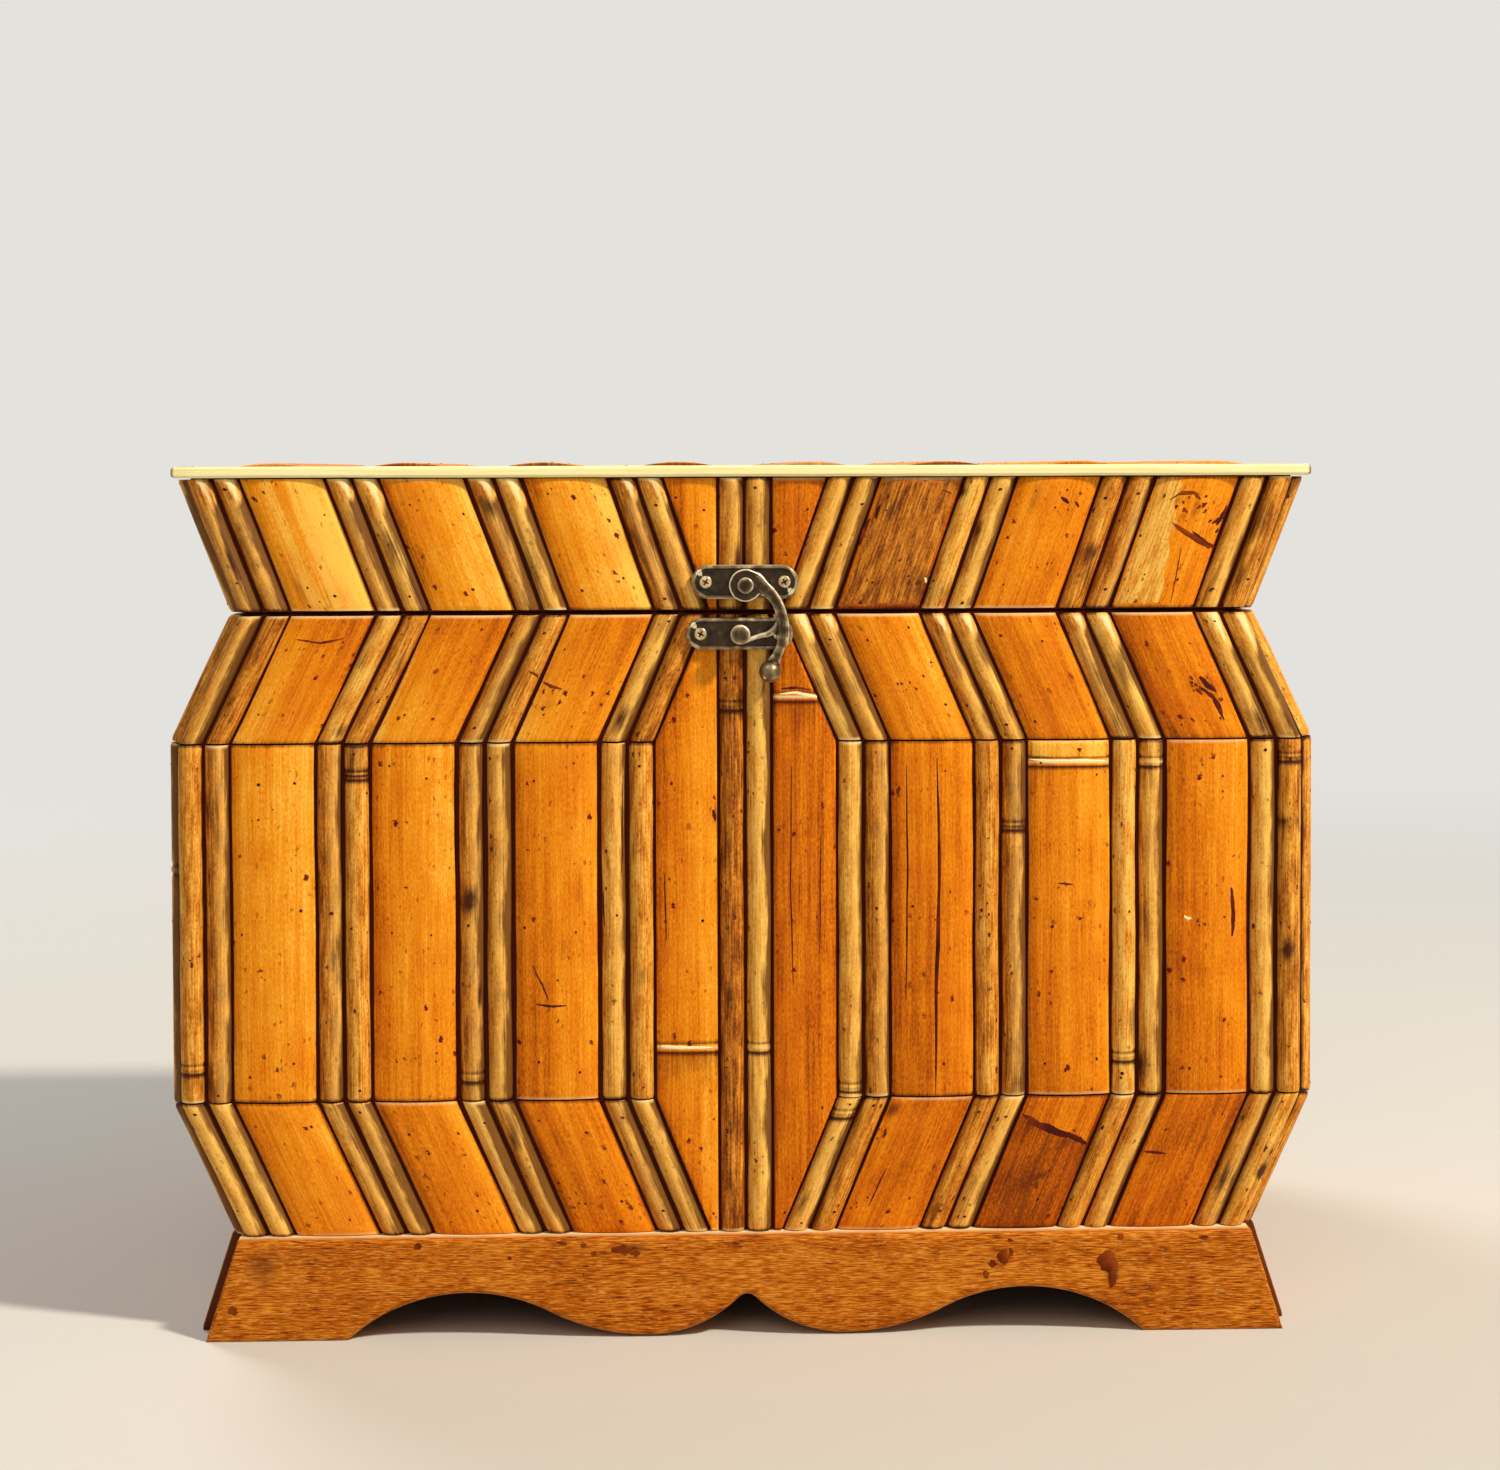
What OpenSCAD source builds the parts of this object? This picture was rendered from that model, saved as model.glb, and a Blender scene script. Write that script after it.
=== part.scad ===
// Bombe casket clad in split bamboo: a flat front and back with the slats laid in a chevron,
// sides that slope out to the belly and in again, a hinged lid, a swing-hook latch and a
// scalloped plinth. Millimetres. The origin is on the floor below the middle of the box,
// +X is to the right of the front, +Y to the back and +Z up.

/* [Body] */
// Width of the front board at the belly
belly_w = 295.6; // [280:0.2:330]
// Width of the front board at the lid seam
waist_w = 263; // [250:1:285]
// Width of the front board where it stands on the plinth
foot_w = 263; // [250:1:275]
// Depth over the front and back boards
carcass_d = 192; // [170:1:230]
// Height of the band that widens from the plinth to the belly
lower_h = 35.5; // [28:0.5:45]
// Height of the upright band
middle_h = 94.5; // [60:0.5:130]
// Height of the band that narrows from the belly to the lid
upper_h = 34; // [28:0.5:45]
// Thickness of the wall boards of the body and the lid
board_t = 8; // [7.5:0.5:10]
// Thickness of the bottom board
bottom_t = 6; // [4:0.5:9]

/* [Lid] */
// Height of the lid's walls
lid_h = 34; // [30:0.5:45]
// Width of the lid's front board at its top
lid_top_w = 289.4; // [280:0.2:330]
// Thickness of the lid's top board
top_board_t = 2.5; // [2:0.5:5]
// Gap between the rims of the lid and the body
lid_gap = 0.4; // [0.3:0.05:0.6]
// How far the lid opens, in degrees
lid_open = 100; // [90:1:110]
// Thickness of the cane strips round the edge of the top
edge_strip_t = 1.6; // [1.2:0.1:2.4]
// Height of the cane strips round the edge of the top
edge_strip_h = 3.1; // [2.6:0.1:4]
// How far the edge strips stand out past the cladding below them
edge_over = 0.5; // [0.2:0.1:1]

/* [Cladding] */
// Width of a half-round stick
stick_w = 6.5; // [5.5:0.1:7]
// Width of the slats beside the centre sticks at the belly
centre_slat_w = 18.1; // [14:0.1:24]
// Least width that the lean of the sticks beside them leaves those slats
centre_tip_w = 1; // [0.6:0.1:4]
// Thickness of a wide slat at its long edges
slat_edge_t = 1.6; // [1.2:0.1:2]
// Radius of the crown of a wide slat
slat_crown_r = 40; // [34:1:60]
// Gap between neighbouring slats and sticks
joint_gap = 0.6; // [0.4:0.1:0.8]
// Gap between the ends of two bands
band_gap = 0.5; // [0.3:0.1:0.8]
// How far the slats stop short of the rims at the lid seam
seam_setback = 0.5; // [0.3:0.1:0.8]
// Thickness of the glue film under the slats
glue_t = 0.2; // [0.15:0.05:0.3]
// How far the front cladding laps over the edges of the side cladding
front_lap = 1; // [0:0.1:2]
// Wide slats on each half of the front and of the back
front_slats = 3; // [3:1:4]
// Wide slats across each side
side_slats = 5; // [4:1:6]
// Wide slats across the top
top_slats = 8; // [6:1:9]

/* [Plinth] */
// Height of the plinth
plinth_h = 26.5; // [22:0.5:34]
// How far the side aprons splay out from their top to the floor
plinth_splay = 8.5; // [4:0.5:14]
// Thickness of the aprons
apron_t = 12; // [10:0.5:14]
// How far the front and back aprons stand out past the cladding
apron_ledge = 4; // [2:0.5:6]
// How far the side aprons stand out past the cladding
side_ledge = 1; // [0.5:0.1:3]
// How far the side aprons stand out past the ends of the front apron
apron_reveal = 2.8; // [0.5:0.1:4]
// Height of the arches in the aprons
arch_h = 12.2; // [8:0.1:15]
// Distance from the middle of the front to the top of an arch
arch_x = 73.5; // [70:0.5:80]
// Distance from the middle of the front to the outer foot of an arch
arch_end_x = 105; // [98:0.5:110]
// Distance from the middle of the front to a pendant
pendant_x = 25.8; // [22:0.2:32]
// Height of a pendant's tip above the floor
pendant_z = 0.6; // [0.4:0.1:2]
// Height of the ogee in the middle of the front
ogee_h = 11.2; // [8:0.1:14]
// Radius of the tip of the ogee
ogee_r = 3; // [1:0.5:6]
// Half the span of the arch in a side apron
side_arch_x = 55; // [40:1:65]

/* [Hinges] */
// Distance from the middle of the back to each hinge
hinge_x = 76; // [50:1:95]
// Length of a hinge
hinge_len = 32; // [26:1:40]
// Width of a hinge leaf from the pin
leaf_w = 7.6; // [7:0.1:8]
// Thickness of a hinge leaf
leaf_t = 1; // [0.9:0.1:1.3]
// Gap between the leaves of a closed hinge
leaf_gap = 0.3; // [0.2:0.05:0.3]
// Outer radius of the hinge barrel
barrel_r = 2; // [1.8:0.1:2.2]
// Radius of the hinge pin
pin_r = 0.9; // [0.7:0.05:1]
// Distance of the hinge pin behind the back board
hinge_out = 0.8; // [0.6:0.1:1]
// Room round the hinge barrel in the wood
barrel_room = 0.4; // [0.3:0.1:0.6]
// Gap between hinge knuckles
knuckle_gap = 0.2; // [0.15:0.05:0.3]

/* [Latch] */
// Length of the latch and keeper plates
plate_l = 28; // [26:0.5:32]
// Width of the latch and keeper plates
plate_w = 8.4; // [7.6:0.1:9]
// Thickness of the plates
plate_t = 1.2; // [1:0.1:1.4]
// Distance between the screws of a plate
screw_pitch = 20.6; // [19.6:0.2:22]
// Height of the hook's pivot above the lid seam
latch_rise = 7.1; // [6:0.1:9]
// Depth of the keeper's stud below the lid seam
keeper_drop = 5.7; // [5:0.1:6.5]
// Offset of the keeper to the left of the pivot
keeper_shift = 1.4; // [0.8:0.1:2]
// Thickness of the hook
hook_t = 2; // [1.6:0.1:2.2]
// Radius of the hook's eye
eye_r = 4.1; // [3.6:0.1:4.4]
// Radius of the pivot rivet
rivet_r = 1.3; // [1:0.1:1.5]
// Radius of the rivet's head
rivet_head_r = 2.1; // [1.9:0.1:2.6]
// Radius of the keeper stud's shank
stud_r = 1.1; // [0.9:0.05:1.2]
// Radius of the keeper stud's head
stud_head_r = 2.6; // [2.2:0.1:3]
// Radius of the ball at the end of the hook's tail
ball_r = 2.9; // [2.5:0.1:3]
// Radius of a screw's head
screw_head_r = 1.7; // [1.5:0.1:1.9]
// Radius of a screw's shank
screw_r = 0.85; // [0.7:0.05:0.95]
// How deep a screw goes into a board
screw_bite = 5; // [4:0.5:6]

/* [Hidden] */
$fn = 64;

ply = "#8a5a30";
apron_wood = "#a8703a";
amber_slat = "#dd9038";
straw_stick = "#cba35c";
pale_cane = "#efdc9a";
bronze = "#4d4234";
brass = "#b08d4c";

// Levels from the floor up
foot_z = plinth_h;
low_z = foot_z + lower_h;
high_z = low_z + middle_h;
rim_z = high_z + upper_h;
seam_z = rim_z + lid_gap / 2;
lid_z = rim_z + lid_gap;
lid_top_z = lid_z + lid_h;
top_face_z = lid_top_z + top_board_t;
strip_z = top_face_z + glue_t + slat_edge_t - edge_strip_h;

// Right-hand edge of the front board, as [x, z] from the bottom up
body_edge = [[foot_w / 2, foot_z], [belly_w / 2, low_z], [belly_w / 2, high_z], [waist_w / 2, rim_z]];
lid_edge = [[waist_w / 2, lid_z], [lid_top_w / 2, lid_top_z]];
// The lid's cladding runs on past the top of its walls to the edge strips
lid_clad_edge = [lid_edge[0], lid_edge[0] + (lid_edge[1] - lid_edge[0]) * (strip_z - lid_z) / lid_h];

// Bands of the front and back cladding, as [lower end, upper end]
lower_band = [foot_z + band_gap / 2, low_z - band_gap / 2];
middle_band = [low_z + band_gap / 2, high_z - band_gap / 2];
upper_band = [high_z + band_gap / 2, rim_z - seam_setback];
lid_band = [lid_z + seam_setback, strip_z - band_gap / 2];
body_bands = [lower_band, middle_band, upper_band];
body_height = [lower_band[0], upper_band[1]];

// Layout of half the front at the belly, measured out from the middle
stick_step = stick_w + joint_gap;
pair_w = stick_w + stick_step;
centre_stick_u = joint_gap / 2 + stick_w / 2;
centre_slat_u = joint_gap / 2 + stick_step;
narrowest_w = min(waist_w, foot_w);
centre_belly_w = max(centre_slat_w, centre_tip_w + (belly_w - narrowest_w) / 2);
first_pair_u = centre_slat_u + centre_belly_w + joint_gap;
front_half_w = belly_w / 2 + front_lap;
slat_w = (front_half_w - first_pair_u - (front_slats + 1) * pair_w) / front_slats - 2 * joint_gap;
front_slat_us = slat_centres(first_pair_u, slat_w, front_slats);
front_stick_us = stick_centres(first_pair_u, slat_w, front_slats);

// Layout across a side and across the top
side_slat_w = (carcass_d - (side_slats + 1) * pair_w) / side_slats - 2 * joint_gap;
side_slat_ys = slat_centres(-carcass_d / 2, side_slat_w, side_slats);
side_stick_ys = stick_centres(-carcass_d / 2, side_slat_w, side_slats);
clad_t = glue_t + stick_w / 2;
clad_reach = 2 * clad_t;
lid_slope = atan2(lid_edge[1].x - lid_edge[0].x, lid_h);
foot_slope = atan2(body_edge[1].x - body_edge[0].x, lower_h);
strip_w = 2 * (lid_clad_edge[1].x + clad_t / cos(lid_slope) + edge_over);
strip_d = carcass_d + 2 * (clad_t + edge_over);
strip_gap = 0.1;
top_w = strip_w - 2 * edge_strip_t;
top_d = strip_d - 2 * edge_strip_t;
top_slat_w = (top_w - (top_slats + 1) * pair_w) / top_slats - 2 * joint_gap;
top_slat_xs = slat_centres(-top_w / 2, top_slat_w, top_slats);
top_stick_xs = stick_centres(-top_w / 2, top_slat_w, top_slats);

// Plinth: the lower edge of the front apron is a chain of arcs that run into each other
apron_y = carcass_d / 2 + clad_t + apron_ledge;
plinth_top_w = foot_w + 2 * (clad_t / cos(foot_slope) + side_ledge);
plinth_foot_w = plinth_top_w + 2 * plinth_splay;
apron_top_w = plinth_top_w - 2 * apron_reveal;
apron_foot_w = plinth_foot_w - 2 * apron_reveal;
arch_r = sagitta_radius(arch_end_x - arch_x, arch_h);
arch_drop = arch_h - pendant_z;
outer_pendant_r = sagitta_radius(arch_x - pendant_x, arch_drop) - arch_r;
ogee_drop = ogee_h - pendant_z;
inner_pendant_r = sagitta_radius(pendant_x, ogee_drop) - ogee_r;
side_arch_r = sagitta_radius(side_arch_x, arch_h);
arc_steps = 12;

// Hinges
hinge_y = carcass_d / 2 + hinge_out;
running_gap = 0.05;
fit_gap = 0.05;
knuckle_l = (hinge_len - 2 * knuckle_gap) / 3;
pin_head_lip = 0.6;
pin_head_t = 0.6;
mortise_room = 0.2;
leaf_screw_inset = 5.5;
leaf_screw_x = hinge_len / 2 - leaf_screw_inset;
leaf_screw_y = -hinge_out - board_t / 2;
countersink_t = screw_head_r - screw_r;
stop_room_deg = 1;
groove_reach = 8;
overcut = 1;

// Latch: distances out from the plane of the stick crowns that the plates lie on
seat_gap = 0.1;
latch_y = -carcass_d / 2 - clad_t - seat_gap;
latch_z = seam_z + latch_rise;
keeper_z = seam_z - keeper_drop;
head_t = 0.6;
head_room = 0.3;
play = 0.1;
boss_lip = 1;
boss_r = eye_r - boss_lip;
boss_t = plate_t + head_t + head_room;
hook_out = boss_t + play;
hook_top = hook_out + hook_t;
rivet_head_t = 0.9;
stud_head_t = 1.5;
recess_l = 2.2;
recess_w = 0.5;
stud_clear = 0.25;
// Arm of the hook: a crescent between two circles, placed from the pivot
arm_outer = [-4.9, -11.8];
arm_outer_r = 16.5;
arm_inner = [0.9, -8.6];
arm_inner_r = 6.95;
arm_end = -14.2;
tail_start = [9.9, -13.6];
tail_end = [7.3, -20.9];
ball_at = [6.35, -23.4];
tail_r = 1.2;
neck_r = 0.9;
// Prong of the hook, which lies behind the head of the stud and under its shank
stud_at = [-keeper_shift, keeper_z - latch_z];
prong_r = norm(stud_at) + stud_r + stud_clear;
prong_tip_t = 0.8;
prong_root_t = 1.9;
prong_past_deg = 8;
prong_root_deg = -58;
prong_tip_deg = atan2(stud_at.y, stud_at.x) - prong_past_deg;

function slat_centres(start, w, count) =
    [for (i = [0:count - 1]) start + (i + 1) * (pair_w + joint_gap) + i * (w + joint_gap) + w / 2];
function stick_centres(start, w, count) =
    [for (i = [0:count], second = [0, 1])
        start + i * (pair_w + w + 2 * joint_gap) + stick_w / 2 + second * stick_step];
function sagitta_radius(half_span, rise) = (half_span * half_span + rise * rise) / (2 * rise);
// The crown of a slat, flatter on a slat so wide that it would rise above the sticks
function crown_radius(w) = max(slat_crown_r, sagitta_radius(w / 2, stick_w / 2 - slat_edge_t));
function slat_rise(w) = let (r = crown_radius(w)) slat_edge_t + r - sqrt(r * r - w * w / 4);
function unit(v) = v / norm(v);
function outward(a, b) = let (d = unit(b - a)) [d.y, -d.x];
function level_offset(p, n, t) = [p.x + t / n.x, p.y];
function mitre_offset(p, n, m, t) = p + t * (n + m) / (1 + n * m);
// The edge moved out by t, with its ends kept level and its corners mitred
function offset_edge(edge, t) = [for (i = [0:len(edge) - 1])
    i == 0 ? level_offset(edge[0], outward(edge[0], edge[1]), t)
    : i == len(edge) - 1 ? level_offset(edge[i], outward(edge[i - 1], edge[i]), t)
    : mitre_offset(edge[i], outward(edge[i - 1], edge[i]), outward(edge[i], edge[i + 1]), t)];
function half_w(edge, z) = lookup(z, [for (p = edge) [p.y, p.x]]);
function lean_in(edge, z) = belly_w / 2 - half_w(edge, z);
function band_lean(edge, band) =
    atan2(lean_in(edge, band[0]) - lean_in(edge, band[1]), band[1] - band[0]);
function mirrored(points) = [for (i = [len(points) - 1:-1:0]) [-points[i].x, points[i].y]];
function arc(centre, r, from, to) =
    [for (i = [0:arc_steps]) let (a = from + (to - from) * i / arc_steps) centre + r * [cos(a), sin(a)]];

// A profile or outline in the XZ plane, run along Y
module along_y(from, to) translate([0, to, 0]) rotate([90, 0, 0]) linear_extrude(to - from) children();
module on_front() translate([0, -carcass_d / 2 - glue_t, 0]) children();
module on_back() rotate([0, 0, 180]) on_front() children();
module on_left() mirror([1, 0, 0]) children();
module both_halves() for (side = [0, 1]) mirror([side, 0, 0]) children();
module at_latch(x, z) translate([x, latch_y, z]) rotate([90, 0, 0]) children();
module at_hinges() for (side = [-1, 1]) translate([side * hinge_x, hinge_y, seam_z]) children();

// Section of a wide slat: flat back on y = 0, crown towards -y
module crowned(w) {
    rise = slat_rise(w);
    intersection() {
        translate([-w / 2, -rise]) square([w, rise]);
        translate([0, crown_radius(w) - rise]) circle(crown_radius(w), $fn = 256);
    }
}
module half_round(w) {
    intersection() {
        circle(d = w);
        translate([-w / 2, -w / 2]) square([w, w / 2]);
    }
}

// A bar with the section below, its middle running from x0 at the foot to x1 at the head of
// the band, both ends cut level
module level_cut_bar(x0, x1, band, w) {
    lean = atan2(x1 - x0, band[1] - band[0]);
    length = norm([x1 - x0, band[1] - band[0]]);
    intersection() {
        translate([x0, 0, band[0]]) rotate([0, lean, 0]) translate([0, 0, -w])
            linear_extrude(length + 2 * w) children();
        translate([min(x0, x1) - w, -clad_reach, band[0]])
            cube([abs(x1 - x0) + 2 * w, clad_reach, band[1] - band[0]]);
    }
}
module chevron_bars(edge, band, us, w) {
    both_halves() for (u = us)
        level_cut_bar(u - lean_in(edge, band[0]), u - lean_in(edge, band[1]), band, w) children();
}
module chevron_slats(edge, band)
    chevron_bars(edge, band, front_slat_us, slat_w) crowned(slat_w * cos(band_lean(edge, band)));
module chevron_sticks(edge, band)
    chevron_bars(edge, band, front_stick_us, stick_w) half_round(stick_w * cos(band_lean(edge, band)));

// The slat between a centre stick and the leaning sticks beside it
module centre_slat_set(edge, band) {
    kinks = [for (p = edge) if (p.y > band[0] && p.y < band[1]) p.y];
    levels = concat([band[0]], kinks, [band[1]]);
    outer = [for (z = levels) [centre_slat_u + centre_belly_w - lean_in(edge, z), z]];
    inner = [[centre_slat_u, band[1]], [centre_slat_u, band[0]]];
    widest = max([for (p = outer) p.x]) - centre_slat_u;
    both_halves() intersection() {
        translate([centre_slat_u + widest / 2, 0, band[0]])
            linear_extrude(band[1] - band[0]) crowned(widest);
        along_y(-clad_reach, 0) polygon(concat(inner, outer));
    }
}
module centre_stick_set(band) {
    both_halves() translate([centre_stick_u, 0, band[0]])
        linear_extrude(band[1] - band[0]) half_round(stick_w);
}

// Bars up the right-hand side, mitred where the slope of the side changes
module side_bars(edge, ys, w) {
    outer = offset_edge(edge, clad_reach);
    for (i = [0:len(edge) - 2]) {
        run = edge[i + 1] - edge[i];
        slope = atan2(run.x, run.y);
        trim = unit(run) * band_gap / 2;
        region = [edge[i] + trim, edge[i + 1] - trim, outer[i + 1] - trim, outer[i] + trim];
        for (y = ys) intersection() {
            translate([edge[i].x, y, edge[i].y]) rotate([0, slope, 0])
                translate([glue_t, 0, -2 * clad_reach])
                linear_extrude(norm(run) + 4 * clad_reach) rotate(90) children();
            along_y(y - w, y + w) polygon(region);
        }
    }
}
module side_slat_set(edge) side_bars(edge, side_slat_ys, side_slat_w) crowned(side_slat_w);
module side_stick_set(edge) side_bars(edge, side_stick_ys, stick_w) half_round(stick_w);
module top_bars(xs) {
    for (x = xs) translate([x, -top_d / 2, top_face_z + glue_t])
        rotate([-90, 0, 0]) linear_extrude(top_d) children();
}

// Boards
module face_board(edge) polygon(concat(edge, mirrored(edge)));
module side_board(edge, i) {
    inner = offset_edge(edge, -board_t);
    along_y(-carcass_d / 2 + board_t, carcass_d / 2 - board_t)
        polygon([edge[i], edge[i + 1], inner[i + 1], inner[i]]);
}
module front_board() color(ply) difference() {
    along_y(-carcass_d / 2, -carcass_d / 2 + board_t) face_board(body_edge);
    keeper_screw_holes();
}
module back_board() color(ply) difference() {
    along_y(carcass_d / 2 - board_t, carcass_d / 2) face_board(body_edge);
    barrel_space();
    at_hinges() leaf_mortise();
    at_hinges() leaf_screws(screw_r + fit_gap);
}
module bottom_board() color(ply) {
    inner = offset_edge(body_edge, -board_t);
    top = foot_z + bottom_t;
    edge = [inner[0], [half_w(inner, top), top]];
    along_y(-carcass_d / 2 + board_t, carcass_d / 2 - board_t) polygon(concat(edge, mirrored(edge)));
}
module right_lower_board() color(ply) side_board(body_edge, 0);
module right_middle_board() color(ply) side_board(body_edge, 1);
module right_upper_board() color(ply) side_board(body_edge, 2);
module left_lower_board() on_left() right_lower_board();
module left_middle_board() on_left() right_middle_board();
module left_upper_board() on_left() right_upper_board();
module lid_front_board() color(ply) difference() {
    along_y(-carcass_d / 2, -carcass_d / 2 + board_t) face_board(lid_edge);
    latch_screw_holes();
}
module lid_back_board() color(ply) difference() {
    along_y(carcass_d / 2 - board_t, carcass_d / 2) face_board(lid_edge);
    barrel_space();
    at_hinges() mirror([0, 0, 1]) leaf_mortise();
    at_hinges() mirror([0, 0, 1]) leaf_screws(screw_r + fit_gap);
}
module lid_right_board() color(ply) side_board(lid_edge, 0);
module lid_left_board() on_left() lid_right_board();
module lid_top_board() color(ply)
    translate([-lid_top_w / 2, -carcass_d / 2, lid_top_z]) cube([lid_top_w, carcass_d, top_board_t]);

// Plinth
module scalloped_outline() {
    ogee_c = [0, ogee_h - ogee_r];
    inner_c = [pendant_x, pendant_z + inner_pendant_r];
    outer_c = [pendant_x, pendant_z + outer_pendant_r];
    arch_c = [arch_x, arch_h - arch_r];
    ogee_turn = atan2(inner_c.y - ogee_c.y, inner_c.x - ogee_c.x);
    arch_turn = atan2(outer_c.y - arch_c.y, outer_c.x - arch_c.x);
    arch_foot = atan2(-arch_c.y, arch_end_x - arch_x);
    lower_edge = concat(
        arc(ogee_c, ogee_r, 90, ogee_turn),
        arc(inner_c, inner_pendant_r, ogee_turn + 180, 270),
        arc(outer_c, outer_pendant_r, 270, arch_turn + 180),
        arc(arch_c, arch_r, arch_turn, arch_foot));
    half = concat(lower_edge, [[apron_foot_w / 2, 0], [apron_top_w / 2, plinth_h]]);
    polygon(concat(half, mirrored(half)));
}
module front_apron() color(apron_wood) along_y(-apron_y, apron_t - apron_y) scalloped_outline();
module back_apron() rotate([0, 0, 180]) front_apron();
module right_apron() color(apron_wood) {
    top_x = plinth_top_w / 2;
    foot_x = plinth_foot_w / 2;
    difference() {
        along_y(apron_t - apron_y, apron_y - apron_t)
            polygon([[foot_x, 0], [top_x, plinth_h], [top_x - apron_t, plinth_h], [foot_x - apron_t, 0]]);
        translate([0, 0, arch_h - side_arch_r]) rotate([0, 90, 0])
            cylinder(r = side_arch_r, h = plinth_foot_w);
    }
}
module left_apron() on_left() right_apron();

// Cladding of the body
module front_lower_slats() color(amber_slat) on_front() chevron_slats(body_edge, lower_band);
module front_lower_sticks() color(straw_stick) on_front() chevron_sticks(body_edge, lower_band);
module front_middle_slats() color(amber_slat) on_front() chevron_slats(body_edge, middle_band);
module front_middle_sticks() color(straw_stick) on_front() chevron_sticks(body_edge, middle_band);
module front_upper_slats() color(amber_slat) on_front() chevron_slats(body_edge, upper_band);
module front_upper_sticks() color(straw_stick) difference() {
    on_front() chevron_sticks(body_edge, upper_band);
    keeper_screw_holes();
}
module front_centre_slats() color(amber_slat) difference() {
    on_front() centre_slat_set(body_edge, body_height);
    keeper_screw_holes();
}
module front_centre_sticks() color(straw_stick) on_front() centre_stick_set(body_height);
module back_slats() color(amber_slat) difference() {
    on_back() for (band = body_bands) chevron_slats(body_edge, band);
    lid_stop_groove();
    barrel_space();
}
module back_sticks() color(straw_stick) difference() {
    on_back() for (band = body_bands) chevron_sticks(body_edge, band);
    lid_stop_groove();
    barrel_space();
}
module back_centre_slats() color(amber_slat) difference() {
    on_back() centre_slat_set(body_edge, body_height);
    lid_stop_groove();
}
module back_centre_sticks() color(straw_stick) difference() {
    on_back() centre_stick_set(body_height);
    lid_stop_groove();
}
module right_slats() color(amber_slat) side_slat_set(body_edge);
module right_sticks() color(straw_stick) side_stick_set(body_edge);
module left_slats() on_left() right_slats();
module left_sticks() on_left() right_sticks();

// Cladding of the lid
module lid_front_slats() color(amber_slat) on_front() chevron_slats(lid_clad_edge, lid_band);
module lid_front_sticks() color(straw_stick) difference() {
    on_front() chevron_sticks(lid_clad_edge, lid_band);
    latch_screw_holes();
}
module lid_centre_slats() color(amber_slat) difference() {
    on_front() centre_slat_set(lid_clad_edge, lid_band);
    latch_screw_holes();
}
module lid_centre_sticks() color(straw_stick) on_front() centre_stick_set(lid_band);
module lid_back_slats() color(amber_slat) difference() {
    on_back() {
        chevron_slats(lid_clad_edge, lid_band);
        centre_slat_set(lid_clad_edge, lid_band);
    }
    lid_stop_groove();
    barrel_space();
}
module lid_back_sticks() color(straw_stick) difference() {
    on_back() {
        chevron_sticks(lid_clad_edge, lid_band);
        centre_stick_set(lid_band);
    }
    lid_stop_groove();
    barrel_space();
}
module lid_right_slats() color(amber_slat) side_slat_set(lid_clad_edge);
module lid_right_sticks() color(straw_stick) side_stick_set(lid_clad_edge);
module lid_left_slats() on_left() lid_right_slats();
module lid_left_sticks() on_left() lid_right_sticks();
module lid_top_slats() color(amber_slat) top_bars(top_slat_xs) crowned(top_slat_w);
module lid_top_sticks() color(straw_stick) top_bars(top_stick_xs) half_round(stick_w);
module lid_edge_strips() color(pale_cane) translate([0, 0, strip_z]) {
    side_l = top_d - 2 * strip_gap;
    for (turn = [0, 180]) rotate(turn) {
        translate([-strip_w / 2, -strip_d / 2, 0]) cube([strip_w, edge_strip_t, edge_strip_h]);
        translate([top_w / 2, -side_l / 2, 0]) cube([edge_strip_t, side_l, edge_strip_h]);
    }
}

// Space in the wood for the hinge barrels, and the bevels of the slats that stop the open lid
module barrel_space() {
    length = hinge_len + 2 * (pin_head_t + barrel_room);
    at_hinges() rotate([0, 90, 0]) cylinder(r = barrel_r + barrel_room, h = length, center = true);
}
module lid_stop_groove() {
    rise = groove_reach * tan(lid_open / 2 + stop_room_deg);
    translate([-belly_w / 2 - groove_reach, hinge_y, seam_z]) rotate([90, 0, 90])
        linear_extrude(belly_w + 2 * groove_reach)
        polygon([[0, 0], [groove_reach, -rise], [groove_reach, rise]]);
}

// Hinges, drawn round the pin with the body's leaf below it
module leaf_mortise() {
    depth = leaf_gap / 2 + leaf_t;
    translate([-hinge_len / 2 - mortise_room, -leaf_w - mortise_room, -depth])
        cube([hinge_len + 2 * mortise_room, leaf_w + mortise_room, depth]);
}
module knuckle_space(i, r, room) {
    translate([i * (knuckle_l + knuckle_gap), 0, 0]) rotate([0, 90, 0])
        cylinder(r = r, h = knuckle_l + 2 * room, center = true);
}
module leaf(own, other) {
    difference() {
        union() {
            difference() {
                translate([-hinge_len / 2, -leaf_w, -leaf_gap / 2 - leaf_t]) cube([hinge_len, leaf_w, leaf_t]);
                for (i = other) knuckle_space(i, barrel_r + barrel_room / 2, knuckle_gap);
            }
            for (i = own) knuckle_space(i, barrel_r, 0);
        }
        rotate([0, 90, 0]) cylinder(r = pin_r + running_gap, h = 2 * hinge_len, center = true);
        leaf_screws(screw_r + fit_gap);
    }
}
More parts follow.
